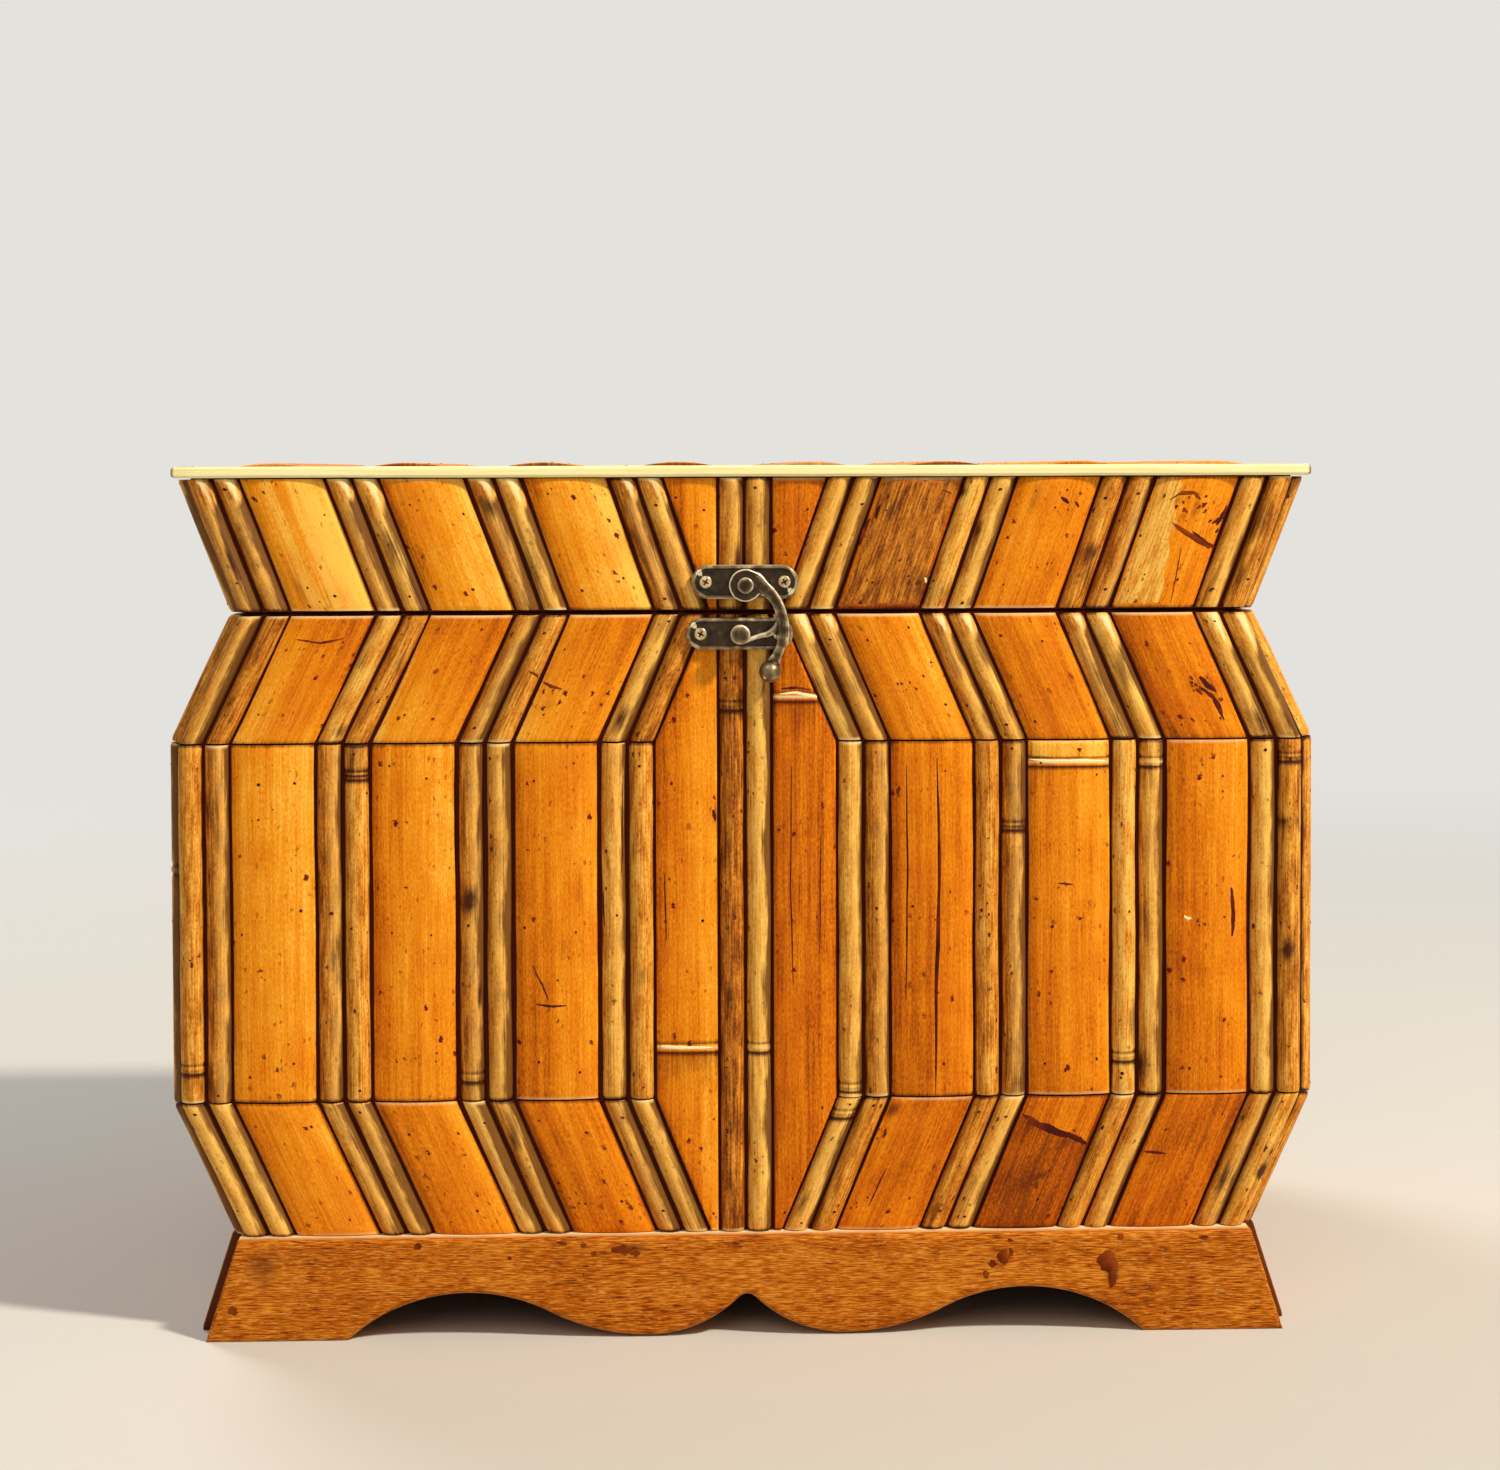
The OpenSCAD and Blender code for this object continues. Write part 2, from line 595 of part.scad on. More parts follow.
// Countersunk wood screws of the body's leaf, or the holes for them
module leaf_screws(r) {
    top = -leaf_gap / 2;
    shank_l = leaf_t + screw_bite;
    head_r = r + countersink_t;
    for (side = [-1, 1]) translate([side * leaf_screw_x, leaf_screw_y, top]) {
        translate([0, 0, -countersink_t]) cylinder(r1 = r, r2 = head_r, h = countersink_t);
        translate([0, 0, -shank_l]) cylinder(r = r, h = shank_l);
        translate([0, 0, -shank_l - r]) cylinder(r1 = 0, r2 = r, h = r);
    }
}
module hinge_body_leaves() color(brass) at_hinges() leaf(own = [-1, 1], other = [0]);
module hinge_lid_leaves() color(brass) at_hinges() mirror([0, 0, 1]) leaf(own = [0], other = [-1, 1]);
module hinge_body_screws() color(brass) at_hinges() leaf_screws(screw_r);
module hinge_lid_screws() color(brass) at_hinges() mirror([0, 0, 1]) leaf_screws(screw_r);
module hinge_pins() color(brass) at_hinges() rotate([0, 90, 0]) {
    reach = hinge_len / 2 + running_gap;
    cylinder(r = pin_r, h = 2 * reach, center = true);
    for (end = [-1, 1]) translate([0, 0, end * (reach + pin_head_t / 2)])
        cylinder(r = pin_r + pin_head_lip, h = pin_head_t, center = true);
}

// Latch: plates, screws, rivet, stud and hook, drawn flat with z out of the front
module plate_outline() {
    square([plate_l - plate_w, plate_w], center = true);
    for (side = [-1, 1]) translate([side * (plate_l - plate_w) / 2, 0]) circle(d = plate_w);
}
module drilled_plate(pin) {
    difference() {
        linear_extrude(plate_t) plate_outline();
        for (side = [-1, 1]) translate([side * screw_pitch / 2, 0, -overcut])
            cylinder(r = screw_r + fit_gap, h = plate_t + 2 * overcut);
        translate([0, 0, -overcut]) cylinder(r = pin + fit_gap, h = plate_t + 2 * overcut);
    }
}
module plate_screws() {
    depth = seat_gap + clad_t + screw_bite;
    for (side = [-1, 1]) translate([side * screw_pitch / 2, 0, 0]) {
        difference() {
            union() {
                translate([0, 0, plate_t]) cylinder(r1 = screw_head_r, r2 = screw_head_r * 0.8, h = head_t);
                translate([0, 0, -depth]) cylinder(r = screw_r, h = depth + plate_t);
                translate([0, 0, -depth - screw_r]) cylinder(r1 = 0, r2 = screw_r, h = screw_r);
            }
            for (turn = [0, 90]) rotate(turn) translate([0, 0, plate_t + head_t])
                cube([recess_l, recess_w, head_t], center = true);
        }
    }
}
module plate_screw_holes() {
    depth = seat_gap + clad_t + screw_bite + screw_r;
    for (side = [-1, 1]) translate([side * screw_pitch / 2, 0, -depth])
        cylinder(r = screw_r + fit_gap, h = depth);
}
module latch_screw_holes() at_latch(0, latch_z) plate_screw_holes();
module keeper_screw_holes() at_latch(-keeper_shift, keeper_z) plate_screw_holes();
module latch_plate() color(bronze) at_latch(0, latch_z) {
    drilled_plate(rivet_r);
    translate([0, 0, plate_t]) difference() {
        cylinder(r = boss_r, h = boss_t - plate_t);
        translate([0, 0, -overcut]) cylinder(r = rivet_r + fit_gap, h = boss_t + 2 * overcut);
    }
}
module keeper_plate() color(bronze) at_latch(-keeper_shift, keeper_z) drilled_plate(stud_r);
module latch_screws() color(brass) at_latch(0, latch_z) plate_screws();
module keeper_screws() color(brass) at_latch(-keeper_shift, keeper_z) plate_screws();
module latch_rivet() color(bronze) at_latch(0, latch_z) {
    under_head = hook_top + play;
    cylinder(r = rivet_r, h = under_head);
    translate([0, 0, under_head]) cylinder(r1 = rivet_head_r, r2 = rivet_head_r * 0.7, h = rivet_head_t);
}
module keeper_stud() color(bronze) at_latch(-keeper_shift, keeper_z) {
    under_head = hook_top + stud_clear;
    edge_t = stud_head_t / 2;
    cylinder(r = stud_r, h = under_head);
    translate([0, 0, under_head]) cylinder(r = stud_head_r, h = edge_t);
    translate([0, 0, under_head + edge_t])
        cylinder(r1 = stud_head_r, r2 = stud_head_r * 0.6, h = stud_head_t - edge_t);
}
module hook_arm() {
    difference() {
        intersection() {
            translate(arm_outer) circle(arm_outer_r, $fn = 128);
            translate([0, arm_end]) square([arm_outer_r, eye_r - arm_end]);
        }
        translate(arm_inner) circle(arm_inner_r);
        translate([0, arm_end]) square([arm_inner.x, -arm_end - eye_r]);
    }
}
module hook_prong() {
    taper = prong_root_t - prong_tip_t;
    shift = taper / (cos(prong_root_deg) - cos(prong_tip_deg));
    outer_r = prong_r + prong_tip_t - shift * cos(prong_tip_deg);
    far = 2 * prong_r;
    intersection() {
        difference() {
            translate([shift, 0]) circle(outer_r, $fn = 128);
            circle(prong_r, $fn = 128);
        }
        polygon([[0, 0], far * [cos(prong_tip_deg), sin(prong_tip_deg)],
            far * [cos(prong_root_deg), sin(prong_root_deg)]]);
    }
}
module hook_tail() {
    run = tail_end - tail_start;
    translate([tail_start.x, tail_start.y, hook_t / 2]) {
        sphere(tail_r);
        rotate([0, 0, atan2(run.y, run.x)]) rotate([0, 90, 0])
            cylinder(r1 = tail_r, r2 = neck_r, h = norm(run));
    }
    translate([ball_at.x, ball_at.y, hook_t / 2]) sphere(ball_r);
}
module latch_hook() color(bronze) at_latch(0, latch_z) translate([0, 0, hook_out]) {
    difference() {
        linear_extrude(hook_t) {
            circle(eye_r);
            hook_arm();
            hook_prong();
        }
        translate([0, 0, -overcut]) cylinder(r = rivet_r + running_gap, h = hook_t + 2 * overcut);
    }
    hook_tail();
}

front_board();
back_board();
bottom_board();
left_lower_board();
left_middle_board();
left_upper_board();
right_lower_board();
right_middle_board();
right_upper_board();
front_apron();
back_apron();
left_apron();
right_apron();
front_lower_slats();
front_lower_sticks();
front_middle_slats();
front_middle_sticks();
front_upper_slats();
front_upper_sticks();
front_centre_slats();
front_centre_sticks();
back_slats();
back_sticks();
back_centre_slats();
back_centre_sticks();
left_slats();
left_sticks();
right_slats();
right_sticks();
lid_front_board();
lid_back_board();
lid_left_board();
lid_right_board();
lid_top_board();
lid_front_slats();
lid_front_sticks();
lid_centre_slats();
lid_centre_sticks();
lid_back_slats();
lid_back_sticks();
lid_left_slats();
lid_left_sticks();
lid_right_slats();
lid_right_sticks();
lid_top_slats();
lid_top_sticks();
lid_edge_strips();
hinge_body_leaves();
hinge_lid_leaves();
hinge_pins();
hinge_body_screws();
hinge_lid_screws();
latch_plate();
latch_hook();
latch_rivet();
latch_screws();
keeper_plate();
keeper_stud();
keeper_screws();
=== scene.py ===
"""Bombe casket clad in split bamboo and half-round cane, dressed round its CAD frame.

Sizes are in millimetres and are turned to metres where a mesh is made. +X is to the right of
the front, +Y to the back and +Z up, with the origin on the floor below the middle of the box.
"""
import math

import bpy
import numpy as np
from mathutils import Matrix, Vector


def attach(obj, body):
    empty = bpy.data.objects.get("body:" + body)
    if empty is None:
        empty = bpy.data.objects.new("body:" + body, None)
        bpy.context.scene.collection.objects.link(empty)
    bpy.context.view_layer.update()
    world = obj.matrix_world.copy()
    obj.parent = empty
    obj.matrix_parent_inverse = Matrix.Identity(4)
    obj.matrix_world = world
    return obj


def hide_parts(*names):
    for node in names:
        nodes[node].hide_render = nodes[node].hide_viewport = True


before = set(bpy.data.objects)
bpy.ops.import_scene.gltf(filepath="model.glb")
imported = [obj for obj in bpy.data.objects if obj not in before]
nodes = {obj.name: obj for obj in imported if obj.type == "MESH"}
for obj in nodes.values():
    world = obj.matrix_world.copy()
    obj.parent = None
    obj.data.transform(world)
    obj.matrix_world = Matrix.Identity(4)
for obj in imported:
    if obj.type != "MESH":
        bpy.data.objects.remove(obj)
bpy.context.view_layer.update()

rng = np.random.default_rng(11)
MM = 0.001

# Carcass, as in the part
BELLY_W = 295.6
WAIST_W = 263
FOOT_W = 263
CARCASS_D = 192
FOOT_Z = 26.5
LOW_Z = 62
HIGH_Z = 156.5
RIM_Z = 190.5
SEAM_Z = 190.7
LID_Z = 190.9
LID_TOP_Z = 224.9
LID_TOP_W = 289.4
TOP_FACE_Z = 227.4
BODY_EDGE = [(FOOT_W / 2, FOOT_Z), (BELLY_W / 2, LOW_Z), (BELLY_W / 2, HIGH_Z), (WAIST_W / 2, RIM_Z)]

# Cladding, as in the part
STICK_W = 6.5
CENTRE_SLAT_W = 18.1
SLAT_EDGE_T = 1.6
SLAT_CROWN_R = 40
JOINT_GAP = 0.6
BAND_GAP = 0.5
SEAM_SETBACK = 0.5
GLUE_T = 0.2
FRONT_LAP = 1
FRONT_SLATS = 3
SIDE_SLATS = 5
TOP_SLATS = 8
EDGE_STRIP_T = 1.6
EDGE_STRIP_H = 3.1
EDGE_OVER = 0.5
STRIP_GAP = 0.1
PAIR_W = 2 * STICK_W + JOINT_GAP
STICK_STEP = STICK_W + JOINT_GAP
CLAD_T = GLUE_T + STICK_W / 2
CENTRE_STICK_U = JOINT_GAP / 2 + STICK_W / 2
CENTRE_SLAT_U = JOINT_GAP / 2 + STICK_STEP
FIRST_PAIR_U = CENTRE_SLAT_U + CENTRE_SLAT_W + JOINT_GAP
FRONT_HALF_W = BELLY_W / 2 + FRONT_LAP
STRIP_Z = TOP_FACE_Z + GLUE_T + SLAT_EDGE_T - EDGE_STRIP_H
LID_SLOPE = math.atan2((LID_TOP_W - WAIST_W) / 2, LID_TOP_Z - LID_Z)
LID_EDGE = [(WAIST_W / 2, LID_Z), (WAIST_W / 2 + math.tan(LID_SLOPE) * (STRIP_Z - LID_Z), STRIP_Z)]
LOWER_BAND = (FOOT_Z + BAND_GAP / 2, LOW_Z - BAND_GAP / 2)
MIDDLE_BAND = (LOW_Z + BAND_GAP / 2, HIGH_Z - BAND_GAP / 2)
UPPER_BAND = (HIGH_Z + BAND_GAP / 2, RIM_Z - SEAM_SETBACK)
LID_BAND = (LID_Z + SEAM_SETBACK, STRIP_Z - BAND_GAP / 2)
BODY_HEIGHT = (LOWER_BAND[0], UPPER_BAND[1])

# Hinges: their place, the room round their barrels and the bevel of the slats beside them
HINGE_X = 76
HINGE_ROOM = 18
STOP_SLOPE = math.tan(math.radians(51))
STOP_START = 0.6
BARREL_SETBACK = 1.9

# Plinth, as in the part
APRON_Y = CARCASS_D / 2 + CLAD_T + 4
APRON_T = 12
PLINTH_H = 26.5
PLINTH_SPLAY = 8.5
SIDE_LEDGE = 1
APRON_REVEAL = 2.8
ARCH_H = 12.2
ARCH_X = 73.5
ARCH_END_X = 105
PENDANT_X = 25.8
PENDANT_Z = 0.6
OGEE_H = 11.2
OGEE_R = 3
SIDE_ARCH_X = 55

# Latch, as in the part: distances out of the plane that the plates lie on
LATCH_Y = -CARCASS_D / 2 - CLAD_T - 0.1
LATCH_Z = SEAM_Z + 7.1
KEEPER_Z = SEAM_Z - 5.7
KEEPER_X = -1.4
PLATE_L = 28
PLATE_W = 8.4
PLATE_T = 1.2
SCREW_PITCH = 20.6
SCREW_HEAD_R = 1.7
BOSS_R = 3.1
HOOK_OUT = 2.2
HOOK_T = 2
RIVET_HEAD_R = 2.1
RIVET_HEAD_T = 0.9
RIVET_OUT = 4.3
STUD_HEAD_R = 2.6
STUD_HEAD_T = 1.5
STUD_OUT = 4.45
BALL_R = 2.9


def deselect():
    """Leaves nothing selected, so that the next operator acts on the new piece alone."""
    if bpy.context.object and bpy.context.object.mode != "OBJECT":
        bpy.ops.object.mode_set(mode="OBJECT")
    bpy.ops.object.select_all(action="DESELECT")


def make_active(obj):
    """Leaves this piece alone selected, for the operators that follow."""
    deselect()
    obj.select_set(True)
    bpy.context.view_layer.objects.active = obj


def face_outwards(obj):
    """Turns the faces of a closed mesh outwards."""
    make_active(obj)
    bpy.ops.object.mode_set(mode="EDIT")
    bpy.ops.mesh.select_all(action="SELECT")
    bpy.ops.mesh.normals_make_consistent(inside=False)
    bpy.ops.object.mode_set(mode="OBJECT")


def join_up(parts, name):
    """Joins the parts into the first of them, under that name."""
    make_active(parts[0])
    for part in parts:
        part.select_set(True)
    bpy.ops.object.join()
    parts[0].name = name
    return parts[0]


def shape(operator, **sizes):
    """A new object from one of Blender's own shapes, left selected."""
    deselect()
    operator(**sizes)
    return bpy.context.object


def cover(obj, material):
    """Gives an object that material and no other."""
    obj.data.materials.clear()
    obj.data.materials.append(material)


def turns(sides):
    """The angles of that many steps round a circle."""
    return np.arange(sides) * 2 * math.pi / sides


def linear(colour):
    """An sRGB hex colour as linear RGBA."""
    channels = [int(colour[i:i + 2], 16) / 255 for i in (1, 3, 5)]
    return [c / 12.92 if c <= 0.04045 else ((c + 0.055) / 1.055) ** 2.4 for c in channels] + [1]


def add(tree, kind, sockets=None, stops=None, **settings):
    """Adds a node. Sockets are linked where they are given an output, and set otherwise."""
    node = tree.nodes.new(kind)
    for name, value in settings.items():
        setattr(node, name, value)
    for name, value in (sockets or {}).items():
        if isinstance(value, bpy.types.NodeSocket):
            tree.links.new(value, node.inputs[name])
        else:
            node.inputs[name].default_value = value
    if stops:
        ramp = node.color_ramp.elements
        while len(ramp) < len(stops):
            ramp.new(1)
        for element, (place, colour) in zip(ramp, stops):
            element.position = place
            element.color = linear(colour)
    return node


def maths(tree, operation, *values):
    """What an operation on up to three values gives. They are numbers or outputs of nodes."""
    return add(tree, "ShaderNodeMath", dict(enumerate(values)), operation=operation).outputs[0]


def ranged(tree, value, low, high, to_low=0, to_high=1):
    """A value taken from one range to another, and kept inside it."""
    return add(tree, "ShaderNodeMapRange", {"Value": value, "From Min": low, "From Max": high,
                                            "To Min": to_low, "To Max": to_high}).outputs["Result"]


def carried(tree, name):
    """A value that the points of a mesh carry."""
    return add(tree, "ShaderNodeAttribute", attribute_name=name).outputs["Fac"]


def object_place(tree):
    """The place on an object, in metres."""
    return add(tree, "ShaderNodeTexCoord").outputs["Object"]


def new_material(name):
    """An empty material and its tree of nodes."""
    material = bpy.data.materials.new(name)
    material.use_nodes = True
    material.node_tree.nodes.clear()
    return material, material.node_tree


def bar_values(tree):
    """What each bar carries for its material: place on it in millimetres, tone, and mark."""
    fibre = add(tree, "ShaderNodeUVMap", uv_map="fibre").outputs["UV"]
    return fibre, carried(tree, "tone"), carried(tree, "mark")


FIBRE_ROUGHNESS = 0.6


def pattern(tree, place, sizes, detail, roughness=0.5, distortion=0):
    """A cloudy pattern whose spots have about those sizes along the three axes."""
    scaled = add(tree, "ShaderNodeMapping", {"Vector": place, "Scale": [1 / size for size in sizes]})
    return add(tree, "ShaderNodeTexNoise", {
        "Vector": scaled.outputs["Vector"], "Scale": 1, "Detail": detail, "Roughness": roughness,
        "Distortion": distortion}).outputs["Fac"]


def streaks(tree, fibre, across, along, detail):
    """A pattern on a bar whose streaks are about that many millimetres wide and long."""
    return pattern(tree, fibre, (across, along, 1), detail, FIBRE_ROUGHNESS)


def grain_sizes(axis, length, width):
    """Sizes in metres for a grain that runs along one axis of a board, from millimetres."""
    return [(length if i == axis else width) * MM for i in range(3)]


def summed(tree, base, *patterns):
    """The base value with each pattern added round its middle, at its own strength."""
    for spots, strength in patterns:
        base = maths(tree, "MULTIPLY_ADD", spots, strength, base)
    return maths(tree, "SUBTRACT", base, sum(strength for _, strength in patterns) / 2)


SPECK_RIPPLE = 1.6
SPECK_SWAY = (1.4, 1.6, 0)
SPECK_SPREAD = 1.6
SPECK_BLUR = 0.25
CLUSTER_EDGE = (0.5, 0.58)


def specks(tree, fibre, across, along, most, cluster):
    """Ragged dots, at most one to a cell of that many millimetres and that share of it in radius.

    They lie in clusters about cluster millimetres apart.
    """
    ragged = add(tree, "ShaderNodeTexNoise", {"Vector": fibre, "Scale": SPECK_RIPPLE, "Detail": 1})
    moved = add(tree, "ShaderNodeVectorMath", {0: ragged.outputs["Color"], 1: SPECK_SWAY, 2: fibre},
                operation="MULTIPLY_ADD")
    place = add(tree, "ShaderNodeMapping", {"Vector": moved.outputs["Vector"],
                                            "Scale": (1 / across, 1 / along, 1)})
    cell = add(tree, "ShaderNodeTexVoronoi", {"Vector": place.outputs["Vector"], "Scale": 1},
               voronoi_dimensions="2D")
    chance = add(tree, "ShaderNodeSeparateColor", {"Color": cell.outputs["Color"]}).outputs["Red"]
    reach = maths(tree, "MULTIPLY_ADD", chance, SPECK_SPREAD * most, (1 - SPECK_SPREAD) * most)
    inside = maths(tree, "SUBTRACT", reach, cell.outputs["Distance"])
    gathered = ranged(tree, streaks(tree, fibre, cluster, cluster, 1), *CLUSTER_EDGE)
    return maths(tree, "MULTIPLY", ranged(tree, inside, 0, SPECK_BLUR * most), gathered)


def coloured(tree, shade, stops, *tints):
    """The colour of a shade on a scale of stops, under tints.

    A tint is (value that brings it, where it starts, where it is full, its greatest share, colour).
    """
    colour = add(tree, "ShaderNodeValToRGB", {"Fac": shade}, stops=stops).outputs["Color"]
    for value, start, full, most, tint in tints:
        share = ranged(tree, value, start, full, 0, most)
        colour = add(tree, "ShaderNodeMixRGB", {"Fac": share, "Color1": colour,
                                                "Color2": linear(tint)}).outputs["Color"]
    return colour


GLOSS_EDGE = (0.3, 0.7)


def close_material(material, sockets, gloss=None, relief=None):
    """Ends a material in its shader.

    gloss is (pattern, roughness where it is low, roughness where it is high), and relief is (pattern,
    strength, depth in millimetres).
    """
    tree = material.node_tree
    if gloss:
        spots, low, high = gloss
        sockets["Roughness"] = ranged(tree, spots, *GLOSS_EDGE, low, high)
    if relief:
        spots, strength, depth = relief
        sockets["Normal"] = add(tree, "ShaderNodeBump", {
            "Height": spots, "Strength": strength, "Distance": depth * MM}).outputs["Normal"]
    shader = add(tree, "ShaderNodeBsdfPrincipled", sockets)
    add(tree, "ShaderNodeOutputMaterial", {"Surface": shader.outputs["BSDF"]})
    return material


# Lacquered split bamboo: amber wide slats with upright fibres, honey to burnt-orange streaks,
# reddish blushes, dark-red flecks, maroon lacquer caught in the edges and a satin coat. The fibres
# are drawn coarser than real ones, so that they show.
def lacquered_bamboo():
    material, tree = new_material("lacquered_split_bamboo")
    fibre, tone, mark = bar_values(tree)
    fine = streaks(tree, fibre, 0.55, 22, 4)
    broad = streaks(tree, fibre, 3.4, 130, 2)
    grain = streaks(tree, fibre, 0.45, 1.1, 2)
    cloud = streaks(tree, fibre, 7, 12, 5)
    blush = streaks(tree, fibre, 13, 28, 3)
    dashes = specks(tree, fibre, 1.5, 4, 0.24, 9)
    dots = specks(tree, fibre, 3.8, 5, 0.2, 12)
    shade = summed(tree, tone, (fine, 0.7), (broad, 0.75), (grain, 0.75), (cloud, 0.5))
    stain = summed(tree, mark, (fine, 0.7), (cloud, 0.5))
    wood = coloured(
        tree, shade,
        [(0.0, "#FBC04E"), (0.25, "#F39E20"), (0.5, "#E48208"), (0.75, "#C26002"), (1.0, "#803802")],
        (blush, 0.5, 0.7, 0.35, "#CC5A08"), (dashes, 0, 1, 0.7, "#8E3606"), (dots, 0, 1, 1, "#6A1408"),
        # the pale tint of mark: pale node ridges and cut ends; on the upper band's top ends it is a painted
        # highlight
        (mark, 0, -1, 0.95, "#FBE3A6"), (stain, 0.16, 0.85, 0.95, "#501405"))
    return close_material(material, {"Base Color": wood, "IOR": 1.5, "Specular IOR Level": 0.1},
                          (cloud, 0.45, 0.62), (fine, 0.4, 0.14))


# Half-round cane with its skin on: straw to olive brown, streaked along its length, peppered
# with dark specks and stained nearly black where lacquer gathered at the edges and nodes. One
# side of each stick is painted dark brown, with a ragged edge, as the shade that its neighbours
# cast on it, and a pale band beside it is a painted highlight. The streaks are drawn coarser than
# real ones, so that they show.
def half_round_cane():
    material, tree = new_material("half_round_cane")
    fibre, tone, mark = bar_values(tree)
    # how far inside the painted shade on a stick's side each place is
    brown = carried(tree, "brown")
    streak = streaks(tree, fibre, 0.5, 20, 4)
    patch = streaks(tree, fibre, 2, 9, 4)
    pepper = streaks(tree, fibre, 0.5, 1.1, 2)
    dots = specks(tree, fibre, 2.2, 3.4, 0.25, 8)
    shade = summed(tree, tone, (streak, 1.2), (patch, 1.25), (pepper, 0.6))
    # side: the painted shade, its edge made ragged by the patches and streaks
    side = summed(tree, brown, (patch, 0.7), (streak, 0.5))
    stain = summed(tree, mark, (streak, 0.7), (patch, 0.6))
    skin = coloured(
        tree, shade,
        [(0.0, "#F2C05A"), (0.3, "#DE9632"), (0.52, "#BE7018"), (0.75, "#84440A"), (1.0, "#461C04")],
        # the two tints of side: a painted highlight on the lit side next to the painted shade, then the shade
        # itself; the pale tint of mark also paints the top facets as lit
        (pepper, 0.6, 0.7, 0.4, "#7A4216"), (dots, 0, 1, 1, "#4E1C0A"), (side, -0.7, -0.1, 0.42, "#F4C766"),
        (side, -0.1, 0.2, 0.9, "#5C3006"), (mark, 0, -1, 0.9, "#F8E0A0"), (stain, 0.2, 0.8, 0.96, "#3E1307"))
    return close_material(material, {"Base Color": skin, "IOR": 1.5, "Specular IOR Level": 0.15},
                          (patch, 0.42, 0.6), (streak, 0.4, 0.15))


# Bare pale cane: a straw-yellow strip with faint long fibres, lighter than the lacquered work
def bare_cane():
    material, tree = new_material("bare_pale_cane")
    fibre, _, mark = bar_values(tree)
    grain = streaks(tree, fibre, 0.7, 45, 3)
    cane = coloured(tree, grain, [(0.25, "#EBDC8E"), (0.5, "#F9EFAE"), (0.75, "#FDF7CA")],
                    (mark, 0.15, 1, 0.95, "#3A1A0C"))
    return close_material(material, {"Base Color": cane, "Roughness": 0.45, "IOR": 1.5},
                          relief=(grain, 0.3, 0.1))


BOX_MIDDLE = (0, 0, 0.12)
RIM_REACH = 0.3


# Stained plywood: plain brown grain on the inside, and maroon lacquer on the rims and on the faces
# that show between the slats, taken near-black so that it also paints the shade in the gaps and the
# seam
def stained_ply(name, along):
    material, tree = new_material(name)
    place = add(tree, "ShaderNodeTexCoord").outputs
    grain = pattern(tree, place["Object"], grain_sizes(along, 60, 1.4), 4, distortion=0.4)
    from_middle = add(tree, "ShaderNodeVectorMath", {0: place["Object"], 1: BOX_MIDDLE},
                      operation="SUBTRACT")
    facing = add(tree, "ShaderNodeVectorMath", {0: place["Normal"], 1: from_middle.outputs["Vector"]},
                 operation="DOT_PRODUCT")
    outside = maths(tree, "GREATER_THAN", facing.outputs["Value"], 0)
    height = add(tree, "ShaderNodeSeparateXYZ", {"Vector": place["Object"]}).outputs["Z"]
    rim = maths(tree, "COMPARE", height, SEAM_Z * MM, RIM_REACH * MM)
    # the maroon on the outside faces and rims: lacquer, darkened into painted shade for the gaps and the seam
    wood = coloured(tree, grain, [(0.3, "#7A4A24"), (0.5, "#96612F"), (0.72, "#AA7440")],
                    (maths(tree, "MAXIMUM", outside, rim), 0, 1, 1, "#581808"))
    return close_material(
        material, {"Base Color": wood, "Roughness": 0.55, "IOR": 1.5, "Specular IOR Level": 0.1},
        relief=(grain, 0.25, 0.15))


# Stained and waxed board: short level grain in orange brown, with pale flecks, dark pores and
# reddish stains, and a pale top painted as lit from above
def waxed_board(name, along):
    material, tree = new_material(name)
    place = object_place(tree)
    mark = carried(tree, "mark")
    grain, band, cloud, fleck, blot = [
        pattern(tree, place, grain_sizes(along, length, width), detail, FIBRE_ROUGHNESS)
        for length, width, detail in ((4, 0.32, 3), (60, 3, 3), (16, 9, 4), (2.2, 0.35, 1), (9, 6, 4))]
    shade = summed(tree, 0.5, (grain, 1.95), (band, 0.4), (cloud, 0.6))
    stain = summed(tree, mark, (cloud, 0.5), (grain, 0.5))
    wood = coloured(
        tree, shade, [(0.15, "#682A02"), (0.36, "#A04C04"), (0.54, "#BE6408"), (0.8, "#DC9230")],
        (fleck, 0.6, 0.7, 0.5, "#E4A850"), (blot, 0.62, 0.74, 0.5, "#7A300E"),
        # the pale tint of mark: pale edges, and the pale top of a board, which is a painted highlight
        (stain, 0.2, 0.7, 0.88, "#44170A"), (mark, 0, -1, 0.95, "#F2D6A0"))
    return close_material(
        material, {"Base Color": wood, "Roughness": 0.5, "IOR": 1.5, "Specular IOR Level": 0.08},
        relief=(grain, 0.4, 0.15))


FLAT_POINTINESS = 0.5
MOST_RUBBED_AND_HIGHLIT = 0.7
CAST_MOTTLE = 0.7


